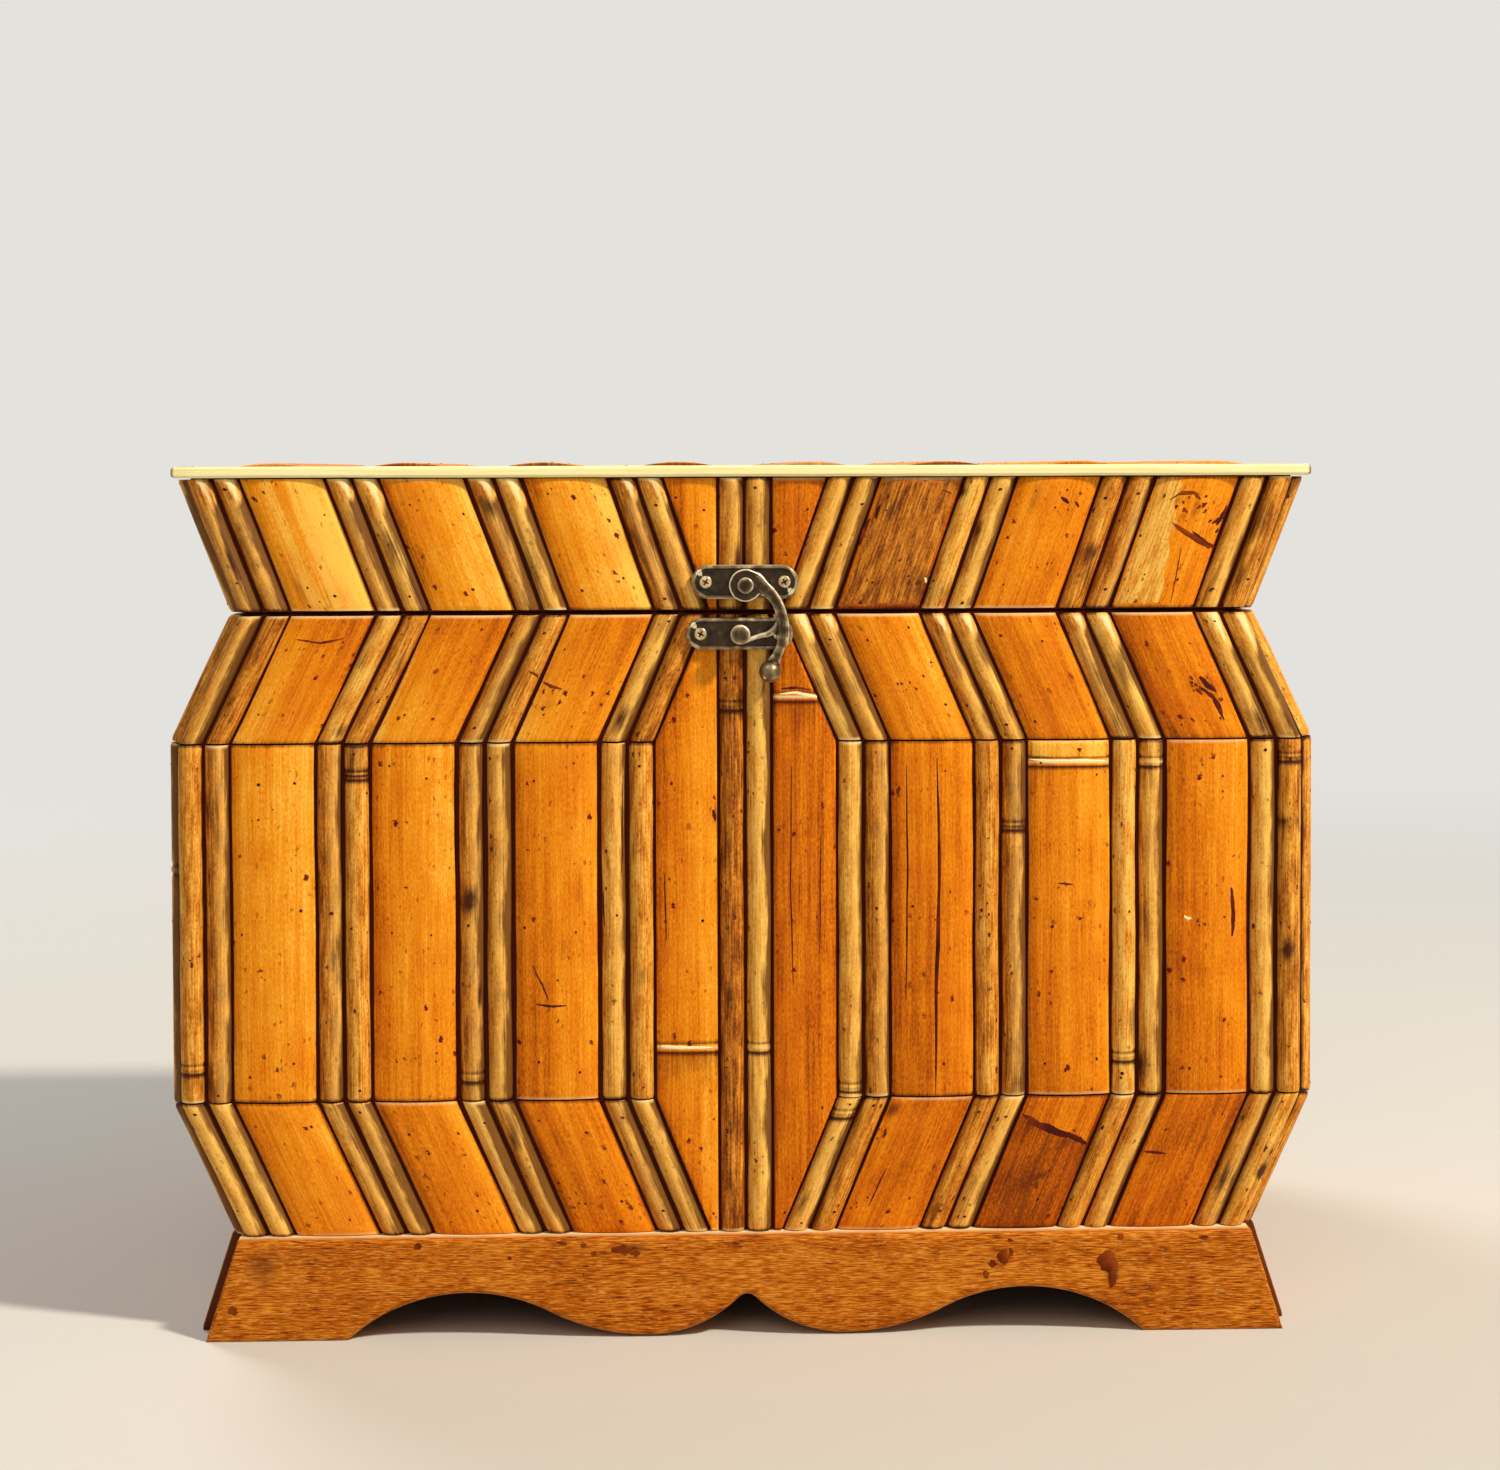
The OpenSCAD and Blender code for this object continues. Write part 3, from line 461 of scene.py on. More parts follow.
# Antique-finished bronze casting: dark olive brown in the hollows, rubbed to dull gold on the
# edges, which also paints the highlights that the edges catch, with a cast grain drawn coarser than
# real. sharp is how keen an edge is that is fully rubbed and painted bright.
def antique_bronze(name, sharp):
    material, tree = new_material(name)
    place = object_place(tree)
    cloud = pattern(tree, place, [2.2 * MM] * 3, 5)
    edge = add(tree, "ShaderNodeNewGeometry").outputs["Pointiness"]
    rubbed_and_highlit = ranged(tree, edge, FLAT_POINTINESS, sharp, 0, MOST_RUBBED_AND_HIGHLIT)
    shade = maths(tree, "MULTIPLY_ADD", cloud, CAST_MOTTLE, rubbed_and_highlit)
    metal = coloured(tree, shade,
                     [(0.22, "#1E140B"), (0.44, "#402E1B"), (0.64, "#7E6A4A"), (0.9, "#E2D7B4")])
    return close_material(material, {"Base Color": metal, "Metallic": 0.65}, (cloud, 0.32, 0.46),
                          (cloud, 0.2, 0.1))


# Turned brass: pale yellow, a little tarnished
def turned_brass():
    material, tree = new_material("turned_brass")
    place = object_place(tree)
    cloud = pattern(tree, place, [1.2 * MM] * 3, 4)
    metal = coloured(tree, cloud, [(0.3, "#9A8450"), (0.52, "#CDB98A"), (0.72, "#E6DAB4")])
    return close_material(material, {"Base Color": metal, "Metallic": 0.9, "Roughness": 0.34})


# Oxblood lacquer: nearly black red over nail heads and in splits, and a thinner, redder coat in
# the flecks and blots
def oxblood_lacquer(name, shine, dark, middle, light):
    material, tree = new_material(name)
    place = object_place(tree)
    cloud = pattern(tree, place, [4 * MM] * 3, 2)
    coat = coloured(tree, cloud, [(0.3, dark), (0.55, middle), (0.75, light)])
    return close_material(material, {"Base Color": coat, "Roughness": 0.6, "IOR": 1.5,
                                     "Specular IOR Level": shine})


bamboo = lacquered_bamboo()
cane = half_round_cane()
pale_cane = bare_cane()
long_ply = stained_ply("stained_ply_long", 0)
short_ply = stained_ply("stained_ply_short", 1)
front_wood = waxed_board("waxed_board_front", 0)
side_wood = waxed_board("waxed_board_side", 1)
bronze = antique_bronze("antique_bronze", 0.57)
# the hook's bronze lightens more of its edges, as painted highlights
hook_bronze = antique_bronze("antique_bronze_hook", 0.525)
brass = turned_brass()
oxblood = oxblood_lacquer("oxblood_lacquer", 0.12, "#2C0A04", "#581608", "#7E2C10")
thin_oxblood = oxblood_lacquer("thin_oxblood_lacquer", 0.04, "#5E2006", "#7E360C", "#984C14")


# The slats and sticks. A flat bar is modelled, and each slat and stick is a copy of it,
# bent to its own section, lean, nodes and wear.
END_ROWS = np.array([0, 0.3, 1])
NODE_ROWS = np.array([-2.4, -1.2, -0.55, 0, 0.55, 1.2, 2.4])
NODE_GROOVE = 1.2
STICK_ARC = math.radians(84)
STICK_WEAR = 0.05
SLAT_WEAR = 0.02
STICK_CLEAR = 0.1
SLAT_CLEAR = 0.05
STICK_STAIN_FROM = 0.66
SLAT_STAIN_FROM = 0.91
END_STAIN = (-0.9, -0.2)
UP = np.array([0, 0, 1])
RIGHT = np.array([1, 0, 0])
SQUARE_CUT = (0, 0)
LONG_BAR = 60
# the painted shade value of a place that has none
NO_PAINTED_SHADE = -9


def flat_bar(columns, rows):
    """A grid with its border drawn down and its back closed."""
    bar = shape(bpy.ops.mesh.primitive_grid_add, x_subdivisions=columns, y_subdivisions=rows, size=2)
    bpy.ops.object.mode_set(mode="EDIT")
    bpy.ops.mesh.select_all(action="SELECT")
    bpy.ops.mesh.region_to_loop()
    bpy.ops.mesh.extrude_edges_move(TRANSFORM_OT_translate={"value": (0, 0, -1)})
    bpy.ops.mesh.edge_face_add()
    face_outwards(bar)
    points = np.array([v.co for v in bar.data.vertices])
    faces = [tuple(p.vertices) for p in bar.data.polygons]
    bpy.data.meshes.remove(bar.data)
    column = np.rint((points[:, 0] + 1) / 2 * columns).astype(int)
    row = np.rint((points[:, 1] + 1) / 2 * rows).astype(int)
    return {"across": points[:, 0], "column": column, "row": row, "rows": rows,
            "back": points[:, 2] < -0.5, "faces": faces}


FINE_BAR = flat_bar(16, 44)
PLAIN_BAR = flat_bar(10, 24)


def wave(along, span, amount):
    """A smooth random wander along a bar, with bends about span apart."""
    phase = rng.uniform(0, 2 * math.pi, 3)
    turns = rng.uniform(0.7, 1.4, 3) / span
    parts = [np.sin(2 * math.pi * turn * along + start) for turn, start in zip(turns, phase)]
    return amount * (0.5 * parts[0] + 0.3 * parts[1] + 0.2 * parts[2])


def step(value, low, high):
    """Goes smoothly from 0 at low to 1 at high."""
    x = np.clip((value - low) / (high - low), 0, 1)
    return x * x * (3 - 2 * x)


def hump(value, middle, reach):
    """1 at the middle, fading to both sides over about that reach."""
    return np.exp(-((value - middle) / reach) ** 2)


def towards_edges(across, share):
    """Places across a bar, drawn towards its edges, where its section turns most."""
    return (1 - share) * across + share * np.sin(across * math.pi / 2)


def stick_section(bar, across, half):
    """Offsets and heights on the half-round section of a stick."""
    turn = across * STICK_ARC
    return half * np.sin(turn) / math.sin(STICK_ARC), bar["depth"] * np.cos(turn)


def slat_rise(offset, width):
    """Height of a slat's crown at that distance from its middle."""
    return SLAT_EDGE_T + np.sqrt(SLAT_CROWN_R ** 2 - offset ** 2) - math.sqrt(
        SLAT_CROWN_R ** 2 - width ** 2 / 4)


def slat_section(bar, across, half):
    """Offsets and heights on the low crown of a slat, with rounded edges."""
    spread = towards_edges(across, 0.3)
    rounding = 0.45 * step(np.abs(across), 0.8, 1)
    return half * spread, slat_rise(spread * bar["depth"], 2 * bar["depth"]) - rounding


def strip_section(bar, across, half):
    """Offsets and heights on the nearly square section of an edge strip."""
    spread = towards_edges(across, 0.3)
    return half * spread, bar["depth"] * (1 - 0.35 * step(np.abs(across), 0.45, 1))


def make_bar(section, start, end, across, out, width, depth, tone, slopes=(0, 0), bar_nodes=(), stains=(),
             brown=None, start_cut=SQUARE_CUT, end_cut=SQUARE_CUT, edge_stain=0.3, ends=(0, 0),
             mould=PLAIN_BAR):
    """A bar from start to end, with its surface turned out.

    depth is the radius of a stick and half the true width of a slat. A node is (place along the
    bar, mark on its ridge, mark below it). A stain is (across, along, reach across, reach along,
    mark). The painted shade of a stick is (side of the stick that it lies on, how far across it
    starts, length of a pale facet at its upper end, which is painted as a highlight). The painted
    shading of the tone is how much it changes across half the bar and along all of it. A cut is
    (slide of the end per height, height it starts from). ends are the marks on the two cut ends.
    """
    start, end = np.asarray(start, float), np.asarray(end, float)
    length = np.linalg.norm(end - start)
    middle = np.linspace(END_ROWS[-1], length - END_ROWS[-1], mould["rows"] - 3)[1:-1]
    for place, _, _ in bar_nodes:
        nearest = np.sort(np.argsort(np.abs(middle - place))[:len(NODE_ROWS)])
        middle[nearest] = place + NODE_ROWS
    rows = np.sort(np.concatenate([END_ROWS, middle, length - END_ROWS]))
    stick = section is stick_section
    worn = STICK_WEAR if stick else SLAT_WEAR
    to_end = np.minimum(rows, length - rows)
    full = 1 - worn * (0.6 + 0.4 * wave(rows, 45, 1)) - 0.1 * np.clip(1 - to_end, 0, 1)
    for place, _, _ in bar_nodes:
        grooves = hump(rows, place - NODE_GROOVE, 0.5) + hump(rows, place + NODE_GROOVE, 0.5)
        full += worn * hump(rows, place, 0.6) - 2 * worn * grooves
    half = width / 2 - 0.08 * np.abs(wave(rows, 30, 1)) - (STICK_CLEAR if stick else SLAT_CLEAR)
    if stick:
        half = half * (0.55 + 0.45 * np.clip(full + worn, 0, 1))
    # where the painted shade on a stick starts across it; at the top it gives way to the facet painted pale
    # as a highlight
    brown_from = wave(rows, 45, 0.16)
    if brown:
        into_lit_facet = np.clip(1 + (rows - length) / max(brown[2], 0.1), 0, 1)
        brown_from = brown_from + brown[1] + 1.4 * into_lit_facet
    return {"section": section, "start": start, "axis": (end - start) / length,
            "across": np.asarray(across, float), "out": np.asarray(out, float), "depth": depth,
            "rows": rows, "length": length, "half": half, "side": wave(rows, 60, 0.16), "full": full,
            "tone": tone, "slopes": slopes, "nodes": bar_nodes, "stains": stains, "brown": brown,
            "brown_from": brown_from, "start_cut": start_cut, "end_cut": end_cut,
            "edge_stain": edge_stain, "ends": ends, "mould": mould}


def along_bar(bar, value, along):
    """What a value of the bar, such as half its width, is at places along it."""
    return np.interp(along, bar["rows"], bar[value])


def on_bar(bar, across, along, lift=0.0, back=False):
    """Points on the surface of a bar, or on its back, at those places across and along it."""
    offset, rise = bar["section"](bar, across, along_bar(bar, "half", along))
    rise = np.where(back, 0, rise * along_bar(bar, "full", along) + lift)
    share = along / bar["length"]
    slide = 0
    for (slope, from_height), weight, way in ((bar["start_cut"], 1 - share, -1), (bar["end_cut"], share, 1)):
        slide = slide + way * weight * slope * np.maximum(rise - from_height, 0)
    sideways = offset + along_bar(bar, "side", along)
    return (bar["start"] + np.outer(along + slide, bar["axis"]) + np.outer(sideways, bar["across"])
            + np.outer(rise, bar["out"]))


def bar_marks(bar, across, along):
    """Wear, stains and painted highlights at those places: dark above 0, pale below."""
    stain_from = STICK_STAIN_FROM if bar["section"] is stick_section else SLAT_STAIN_FROM
    mark = bar["edge_stain"] * step(np.abs(across), stain_from, 1.02)
    for place, ridge, below in bar["nodes"]:
        gap = along - place
        grooves = hump(gap, -NODE_GROOVE, 0.5) + 0.7 * hump(gap, NODE_GROOVE, 0.4)
        mark = mark + ridge * hump(gap, 0, 0.5) + 0.95 * grooves
        mark = mark + below * np.where(gap < -1, np.exp((gap + 1) / 4), 0)
    for at, place, reach_across, reach_along, strength in bar["stains"]:
        mark = mark + strength * hump(across, at, reach_across) * hump(along, place, reach_along)
    # a pale wedge on a stick's top facet: a painted highlight
    if bar["brown"] and bar["brown"][2]:
        into_lit_facet = np.clip(1 + (along - bar["length"]) / bar["brown"][2], 0, 1)
        mark = mark - 0.9 * step(0.42 * into_lit_facet - np.abs(across - 0.3), 0, 0.12)
    mark = mark + bar["ends"][0] * step(-along, *END_STAIN)
    mark = mark + bar["ends"][1] * step(along - bar["length"], *END_STAIN)
    return np.clip(mark, -1, 1)


def inside_painted_shade(bar, across, along):
    """How far inside the painted shade on one side of a stick those places are."""
    if not bar["brown"]:
        return np.full(len(along), NO_PAINTED_SHADE)
    return bar["brown"][0] * across - along_bar(bar, "brown_from", along)


def mesh_object(name, points, faces, edges=()):
    """A mesh object at the origin from points in millimetres."""
    mesh = bpy.data.meshes.new(name)
    mesh.from_pydata((np.asarray(points) * MM).tolist(), edges, faces)
    obj = bpy.data.objects.new(name, mesh)
    bpy.context.scene.collection.objects.link(obj)
    return obj


def set_values(obj, **values):
    """Writes one number per point of the mesh for its material to read."""
    for name, value in values.items():
        attribute = obj.data.attributes.new(name, "FLOAT", "POINT")
        attribute.data.foreach_set("value", np.asarray(value, np.float32))


def finish_piece(obj, material, slot, body, *replaced, smooth=50):
    """Gives a mesh its material, shading and body, and says which nodes it stands for. slot is not used."""
    cover(obj, material)
    make_active(obj)
    bpy.ops.object.shade_smooth_by_angle(angle=math.radians(smooth))
    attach(obj, body)
    if replaced:
        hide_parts(*replaced)


all_bars = {"box": [], "lid": []}


def girth_place(bar, across, along):
    """Distance across the skin of a bar from its middle."""
    half = along_bar(bar, "half", along)
    if bar["section"] is stick_section:
        return across * half * STICK_ARC
    return bar["section"](bar, across, half)[0] + along_bar(bar, "side", along)


def lay_skin(name, points, faces, tone, mark, brown, fibre, material, slot, body, *replaced):
    """One piece of cladding, with what its material reads at each point."""
    obj = mesh_object(name, np.concatenate(points), faces)
    set_values(obj, tone=np.concatenate(tone), mark=np.concatenate(mark), brown=np.concatenate(brown))
    corners = np.zeros(len(obj.data.loops), np.int32)
    obj.data.loops.foreach_get("vertex_index", corners)
    uv = obj.data.uv_layers.new(name="fibre")
    uv.data.foreach_set("uv", np.concatenate(fibre)[corners].astype(np.float32).ravel())
    finish_piece(obj, material, slot, body, *replaced)


def lay_bars(name, bars, material, slot, body, *replaced):
    """One piece of cladding from its bars."""
    points, faces, tone, mark, brown, fibre = [], [], [], [], [], []
    first = 0
    for bar in bars:
        mould = bar["mould"]
        across = mould["across"]
        along = bar["rows"][mould["row"]]
        points.append(on_bar(bar, across, along, back=mould["back"]))
        faces += [tuple(first + i for i in face) for face in mould["faces"]]
        first += len(across)
        # painted shading of the tone across and along the bar
        shade_across, shade_along = bar["slopes"]
        tone.append(bar["tone"] + shade_across * across + shade_along * (along / bar["length"] - 0.5))
        mark.append(np.where(mould["back"], 1, bar_marks(bar, across, along)))
        brown.append(inside_painted_shade(bar, across, along))
        fibre.append(np.c_[girth_place(bar, across, along), along] + rng.uniform(0, 900, 2))
    all_bars[body] += bars
    lay_skin(name, points, faces, tone, mark, brown, fibre, material, slot, body, *replaced)


def laid_out(start, width, count):
    """Middles of the slats and of the paired sticks of a row that starts at start."""
    pitch = PAIR_W + width + 2 * JOINT_GAP
    slats = [start + i * pitch + PAIR_W + JOINT_GAP + width / 2 for i in range(count)]
    sticks = [start + i * pitch + STICK_W / 2 + k * STICK_STEP for i in range(count + 1) for k in (0, 1)]
    return slats, sticks


FRONT_SLAT_W = (FRONT_HALF_W - FIRST_PAIR_U - (FRONT_SLATS + 1) * PAIR_W) / FRONT_SLATS - 2 * JOINT_GAP
FRONT_SLAT_US, FRONT_STICK_US = laid_out(FIRST_PAIR_U, FRONT_SLAT_W, FRONT_SLATS)
SIDE_SLAT_W = (CARCASS_D - (SIDE_SLATS + 1) * PAIR_W) / SIDE_SLATS - 2 * JOINT_GAP
SIDE_SLAT_YS, SIDE_STICK_YS = laid_out(-CARCASS_D / 2, SIDE_SLAT_W, SIDE_SLATS)

# How far the front's bars drift towards the middle on the belly, as they were laid by hand:
# (distances out from the middle, drifts there) for the left and the right half
FRONT_DRIFT = {-1: ((10, 26, 98), (0, 2.0, 0)), 1: ((10, 26, 98, 148), (0, 1.6, 1.8, 1.0))}
MOST_LEAN = (BELLY_W - WAIST_W) / 2

# Nodes of the bars of the front: (x, z, mark on the ridge, mark below it)
FRONT_NODES = [
    (-14.8, 75.5, -0.6, 0.55), (14.4, 168.2, -0.9, 0.5), (85.0, 150.6, -0.9, 0.1),
    (-102.0, 148.1, 0.9, 0.1), (-71.5, 68.2, 0.3, 0.5), (-145.0, 70.9, 0.4, 0.4), (-4.0, 165.9, 0.4, 0.3),
    (5.0, 75.4, -0.3, 0.4), (28.0, 64.5, 0.5, 0.2), (70.3, 133.7, 0.7, 0.2), (99.0, 72.0, 0.4, 0.3),
    (106.5, 150.5, -0.5, 0.5), (143.2, 151.5, 0.6, 0.3), (25.5, 57.5, 0.5, 0.3)]

# Stains and chips on the front: (x, z, reach across, reach up, mark)
FRONT_STAINS = [
    (-43.6, 115, 0.9, 8, 0.35), (-8.5, 137.2, 1.0, 2.0, 0.6), (-72.5, 115.2, 1.8, 4, 0.9),
    (-102.3, 153, 3, 3.2, 0.8), (39.5, 217, 1.9, 4.5, 0.75), (46, 198, 12, 8, 0.48),
    (57.0, 222, 2.6, 1.8, 0.9), (50, 196, 9, 5, 0.42), (136.5, 214, 3, 9, 0.55), (131.5, 199, 3, 5, 0.5),
    (-86.5, 208, 1.0, 30, 0.32), (-84.0, 208, 0.7, 30, 0.26), (-121, 208, 1.2, 30, 0.22),
    (115.5, 219.6, 2.6, 1.6, 0.5), (119, 217.4, 1.6, 2.2, 0.4), (115.4, 215.4, 1.8, 1.6, 0.4),
    (-52, 208, 1.0, 30, 0.24), (120.3, 170.8, 4, 3, 0.45), (39.4, 58.5, 2.4, 2.2, 0.7), (-17, 67, 7, 6, 0.22),
    (76, 54.5, 2.2, 2.2, 0.6), (85, 49.5, 4, 2, 0.5), (78.5, 40.7, 1.3, 1.6, 0.8),
    (137.0, 40.9, 1.6, 2.2, 0.9), (143.0, 134, 1.6, 1.8, 0.9), (-140.9, 60, 2.0, 3.0, 0.9),
    (-28.6, 210, 3, 14, 0.5), (-55.7, 203, 2, 9, 0.55), (100.2, 174.4, 2.5, 6, 0.55),
    (70.3, 146, 4, 8, 0.36), (69.5, 74, 3, 12, 0.38), (145.5, 100, 3, 26, 0.28), (36.0, 150, 0.8, 4, 0.4),
    (-36.0, 130, 0.8, 12, 0.3), (16, 120, 2.5, 20, 0.25), (-30, 70, 2, 3, 0.4)]


def half_width(edge, z):
    """Half the width of the carcass at that height, from the points of its edge."""
    return np.interp(z, [p[1] for p in edge], [p[0] for p in edge])


def lean_in(edge, z):
    """How far inside the belly the edge of the carcass is at that height."""
    return BELLY_W / 2 - half_width(edge, z)


def out_from_middle(side, u, edge, z, back):
    """How far out from the middle a line that lies at u on the belly is at that height."""
    lean = lean_in(edge, z)
    drift = 0 if back else np.interp(u, *FRONT_DRIFT[side]) * (1 - lean / MOST_LEAN)
    return u - lean - drift


def face_frame(back):
    """(turn, across, out, distance of the cladding's back) for the front or the back of the box."""
    turn = -1 if back else 1
    return turn, RIGHT * turn, np.array([0, -turn, 0]), CARCASS_D / 2 + GLUE_T


def seam_cut(x, back, lid):
    """The bevel of a bar's end at the lid seam, on the back, and how far a hinge sets it back."""
    if not back:
        return {}, 0
    at_hinge = abs(abs(x) - HINGE_X) < HINGE_ROOM + FRONT_SLAT_W / 2
    return {"start_cut" if lid else "end_cut": (-STOP_SLOPE, STOP_START)}, BARREL_SETBACK * at_hinge


def own_marks(x, z, width):
    """The nodes and stains of the front that lie on a bar with those ends."""
    rise = z[1] - z[0]
    run = math.hypot(x[1] - x[0], rise)

    def placed(mark_x, mark_z):
        share = (mark_z - z[0]) / rise
        across = (mark_x - x[0] - share * (x[1] - x[0])) / (width / 2)
        return across, share * run, abs(across) < 1 and 0 < share < 1

    found_nodes, found_stains = [], []
    for mark_x, mark_z, ridge, below in FRONT_NODES:
        _, along, here = placed(mark_x, mark_z)
        if here:
            found_nodes.append((along, ridge, below))
    for mark_x, mark_z, reach_x, reach_z, strength in FRONT_STAINS:
        across, along, here = placed(mark_x, mark_z)
        if here:
            found_stains.append((across, along, 2 * reach_x / width, reach_z, strength))
    return found_nodes, found_stains


def chevron_bar(section, side, u, width, edge, band, tone, back=False, **details):
    """A leaning bar of the front or back with level ends. side is -1 left and 1 right of the face."""
    turn, across, out, base = face_frame(back)
    lid = band == LID_BAND
    x = [side * out_from_middle(side, u, edge, z, back) for z in band]
    setback = 0
    if band[1] in (UPPER_BAND[1], LID_BAND[1]):
        cuts, setback = seam_cut(x[0 if lid else 1], back, lid)
        details.update(cuts)
    z = [band[0] + setback * lid, band[1] - setback * (not lid)]
    lean = math.atan2(abs(x[1] - x[0]), band[1] - band[0])
    ends = [np.array([turn * x[i], -turn * base, z[i]]) for i in (0, 1)]
    if not back:
        details["mould"] = FINE_BAR
        details["bar_nodes"], found = own_marks(x, z, width)
        details["stains"] = details["stains"] + found
    return make_bar(section, *ends, across, out, width, width / 2 * math.cos(lean), tone, **details)


def side_bars(edge, i, ys, width, section, side, style):
    """Bars of one slope of a side, mitred to the next slope and level at the rims."""
    (x0, z0), (x1, z1) = edge[i], edge[i + 1]
    run = np.array([x1 - x0, z1 - z0])
    run = run / np.linalg.norm(run)
    slope = math.atan2(run[0], run[1])

    def cut(j, way):
        if 0 <= j < len(edge) - 1:
            turn = math.atan2(edge[j + 1][0] - edge[j][0], edge[j + 1][1] - edge[j][1])
            return math.tan(abs(slope - turn) / 2)
        return way * math.tan(slope)

    out = np.array([side * run[1], 0, -run[0]])
    trim = BAND_GAP / 2
    cuts = {"start_cut": (cut(i - 1, -1), 0), "end_cut": (cut(i + 1, 1), 0)}
    bars = []
    for y in ys:
        base = [np.array([side * (x + run[1] * GLUE_T + way * run[0] * trim), y,
                          z - run[0] * GLUE_T + way * run[1] * trim])
                for x, z, way in ((x0, z0, 1), (x1, z1, -1))]
        details = style(np.linalg.norm(base[1] - base[0]))
        bars.append(make_bar(section, *base, [0, side, 0], out, width, width / 2, **cuts, **details))
    return bars


def any_stains(length, edge, reach, longest, strength):
    """Up to two chance stains for a bar."""
    return [(rng.uniform(-edge, edge), rng.uniform(0, length), rng.uniform(*reach), rng.uniform(2, longest),
             rng.uniform(*strength)) for _ in range(rng.integers(0, 3))]


def any_slat(length):
    """Chance tone, nodes and wear for a slat."""
    some_nodes = []
    if rng.random() < 0.12 and length > 25:
        some_nodes.append((rng.uniform(10, length - 10), -0.4, 0.3))
    stains = any_stains(length, 0.8, (0.05, 0.2), 8, (0.2, 0.5))
    return {"tone": rng.uniform(0.25, 0.72), "bar_nodes": some_nodes, "stains": stains,
            "ends": tuple(rng.choice([-0.35, 0.1, 0.6], 2))}


def any_stick(length, lean=0):
    """Chance tone, nodes and wear for a stick, and the painted shade on its right side. On one that leans
    left the painted shade reaches further, and a pale facet at its upper end is painted as a highlight. Some
    get none.
    """
    some_nodes = []
    if rng.random() < (0.45 if length > LONG_BAR else 0.12):
        some_nodes.append((rng.uniform(8, length - 8), rng.choice([-0.3, 0.5]), rng.uniform(0.1, 0.5)))
    stains = any_stains(length, 0.7, (0.2, 0.5), 9, (0.3, 0.8))
    # painted shade: (side it lies on, where it starts across, length of the facet painted pale as a
    # highlight)
    brown = (1, rng.uniform(0.05, 0.35) + (0.2 if lean >= 0 else 0), rng.uniform(5, 13) * (lean < 0))
    if rng.random() < (0.1 if lean < 0 else 0.3):
        brown = None
    return {"tone": rng.uniform(0.2, 0.55), "bar_nodes": some_nodes, "stains": stains, "brown": brown,
            "edge_stain": rng.uniform(0.3, 0.65), "ends": tuple(rng.choice([-0.6, 0.2, 0.7], 2))}


def centre_slat(side, edge, band, tone, back=False, **details):
    """The slat beside a centre stick, cut to the sticks that lean over it."""
    turn, across, out, base = face_frame(back)
    cuts, _ = seam_cut(0, back, edge is LID_EDGE)
    details.update(cuts)
    ends = [np.array([0, -turn * base, z]) for z in band]
    if not back:
        details["mould"] = FINE_BAR
        middle = side * (CENTRE_SLAT_U + CENTRE_SLAT_W / 2)
        details["bar_nodes"], details["stains"] = own_marks((middle, middle), band, CENTRE_SLAT_W)
    bar = make_bar(slat_section, *ends, across, out, CENTRE_SLAT_W, CENTRE_SLAT_W / 2, tone, **details)
    rows = bar["rows"]
    for kink in [p[1] - band[0] for p in edge if band[0] < p[1] < band[1]]:
        rows[np.argmin(np.abs(rows - kink))] = kink
    outer = out_from_middle(side, CENTRE_SLAT_U + CENTRE_SLAT_W, edge, band[0] + rows, back)
    widest = outer.max() - CENTRE_SLAT_U
    bar["half"] = (outer - CENTRE_SLAT_U) / 2 - SLAT_CLEAR
    bar["side"] = side * (outer + CENTRE_SLAT_U) / 2

    def section(_, across, half):
        offset = half * towards_edges(across, 0.2)
        place = np.clip(side * offset + half + SLAT_CLEAR - widest / 2, -widest / 2, widest / 2)
        return offset, slat_rise(place, widest) - 0.4 * step(np.abs(across), 0.85, 1)

    bar["section"] = section
    return bar


# Tones of the front's slats, from 0 pale to 1 dark, from the middle out, and how they change
# across and up each slat, which is painted shading: left half and right half
FRONT_TONES = {
    LID_BAND: (([0.24, 0.32, 0.1], (-0.24, 0.1)), ([0.78, 0.5, 0.45], (0.06, -0.1))),
    UPPER_BAND: (([0.45, 0.48, 0.45], (0.12, 0.25)), ([0.46, 0.54, 0.62], (-0.13, 0))),
    MIDDLE_BAND: (([0.5, 0.45, 0.32], (-0.1, -0.1)), ([0.6, 0.48, 0.56], (-0.12, -0.1))),
    LOWER_BAND: (([0.6, 0.5, 0.42], (-0.14, 0)), ([0.62, 0.88, 0.74], (0, 0))),
}


def clad_face(edge, band, back):
    """The leaning slats and sticks of one band of the front or the back."""
    slats, sticks = [], []
    lean_way = lean_in(edge, band[0]) - lean_in(edge, band[1])
    for side in (-1, 1):
        tones, slopes = FRONT_TONES[band][0 if side < 0 else 1]
        for u, tone in zip(FRONT_SLAT_US, tones):
            style = any_slat(band[1] - band[0])
            if not back:
                style.update(tone=tone, slopes=slopes)
            # the upper band's slats: darker lower ends, and upper ends painted pale as the highlight that
            # light from above puts on the cut ends
            if not back and band == UPPER_BAND:
                style["ends"] = (0.4, -0.6)
            slats.append(chevron_bar(slat_section, side, u, FRONT_SLAT_W, edge, band, back=back, **style))
        for u in FRONT_STICK_US:
            style = any_stick(band[1] - band[0], side * lean_way)
            # no pale facet is painted as a highlight at the top of the lower band's sticks
            if band == LOWER_BAND and style["brown"]:
                style["brown"] = (*style["brown"][:2], 0)
            sticks.append(chevron_bar(stick_section, side, u, STICK_W, edge, band, back=back, **style))
    return slats, sticks


UPRIGHT = [(BELLY_W / 2, 0), (BELLY_W / 2, LID_TOP_Z)]


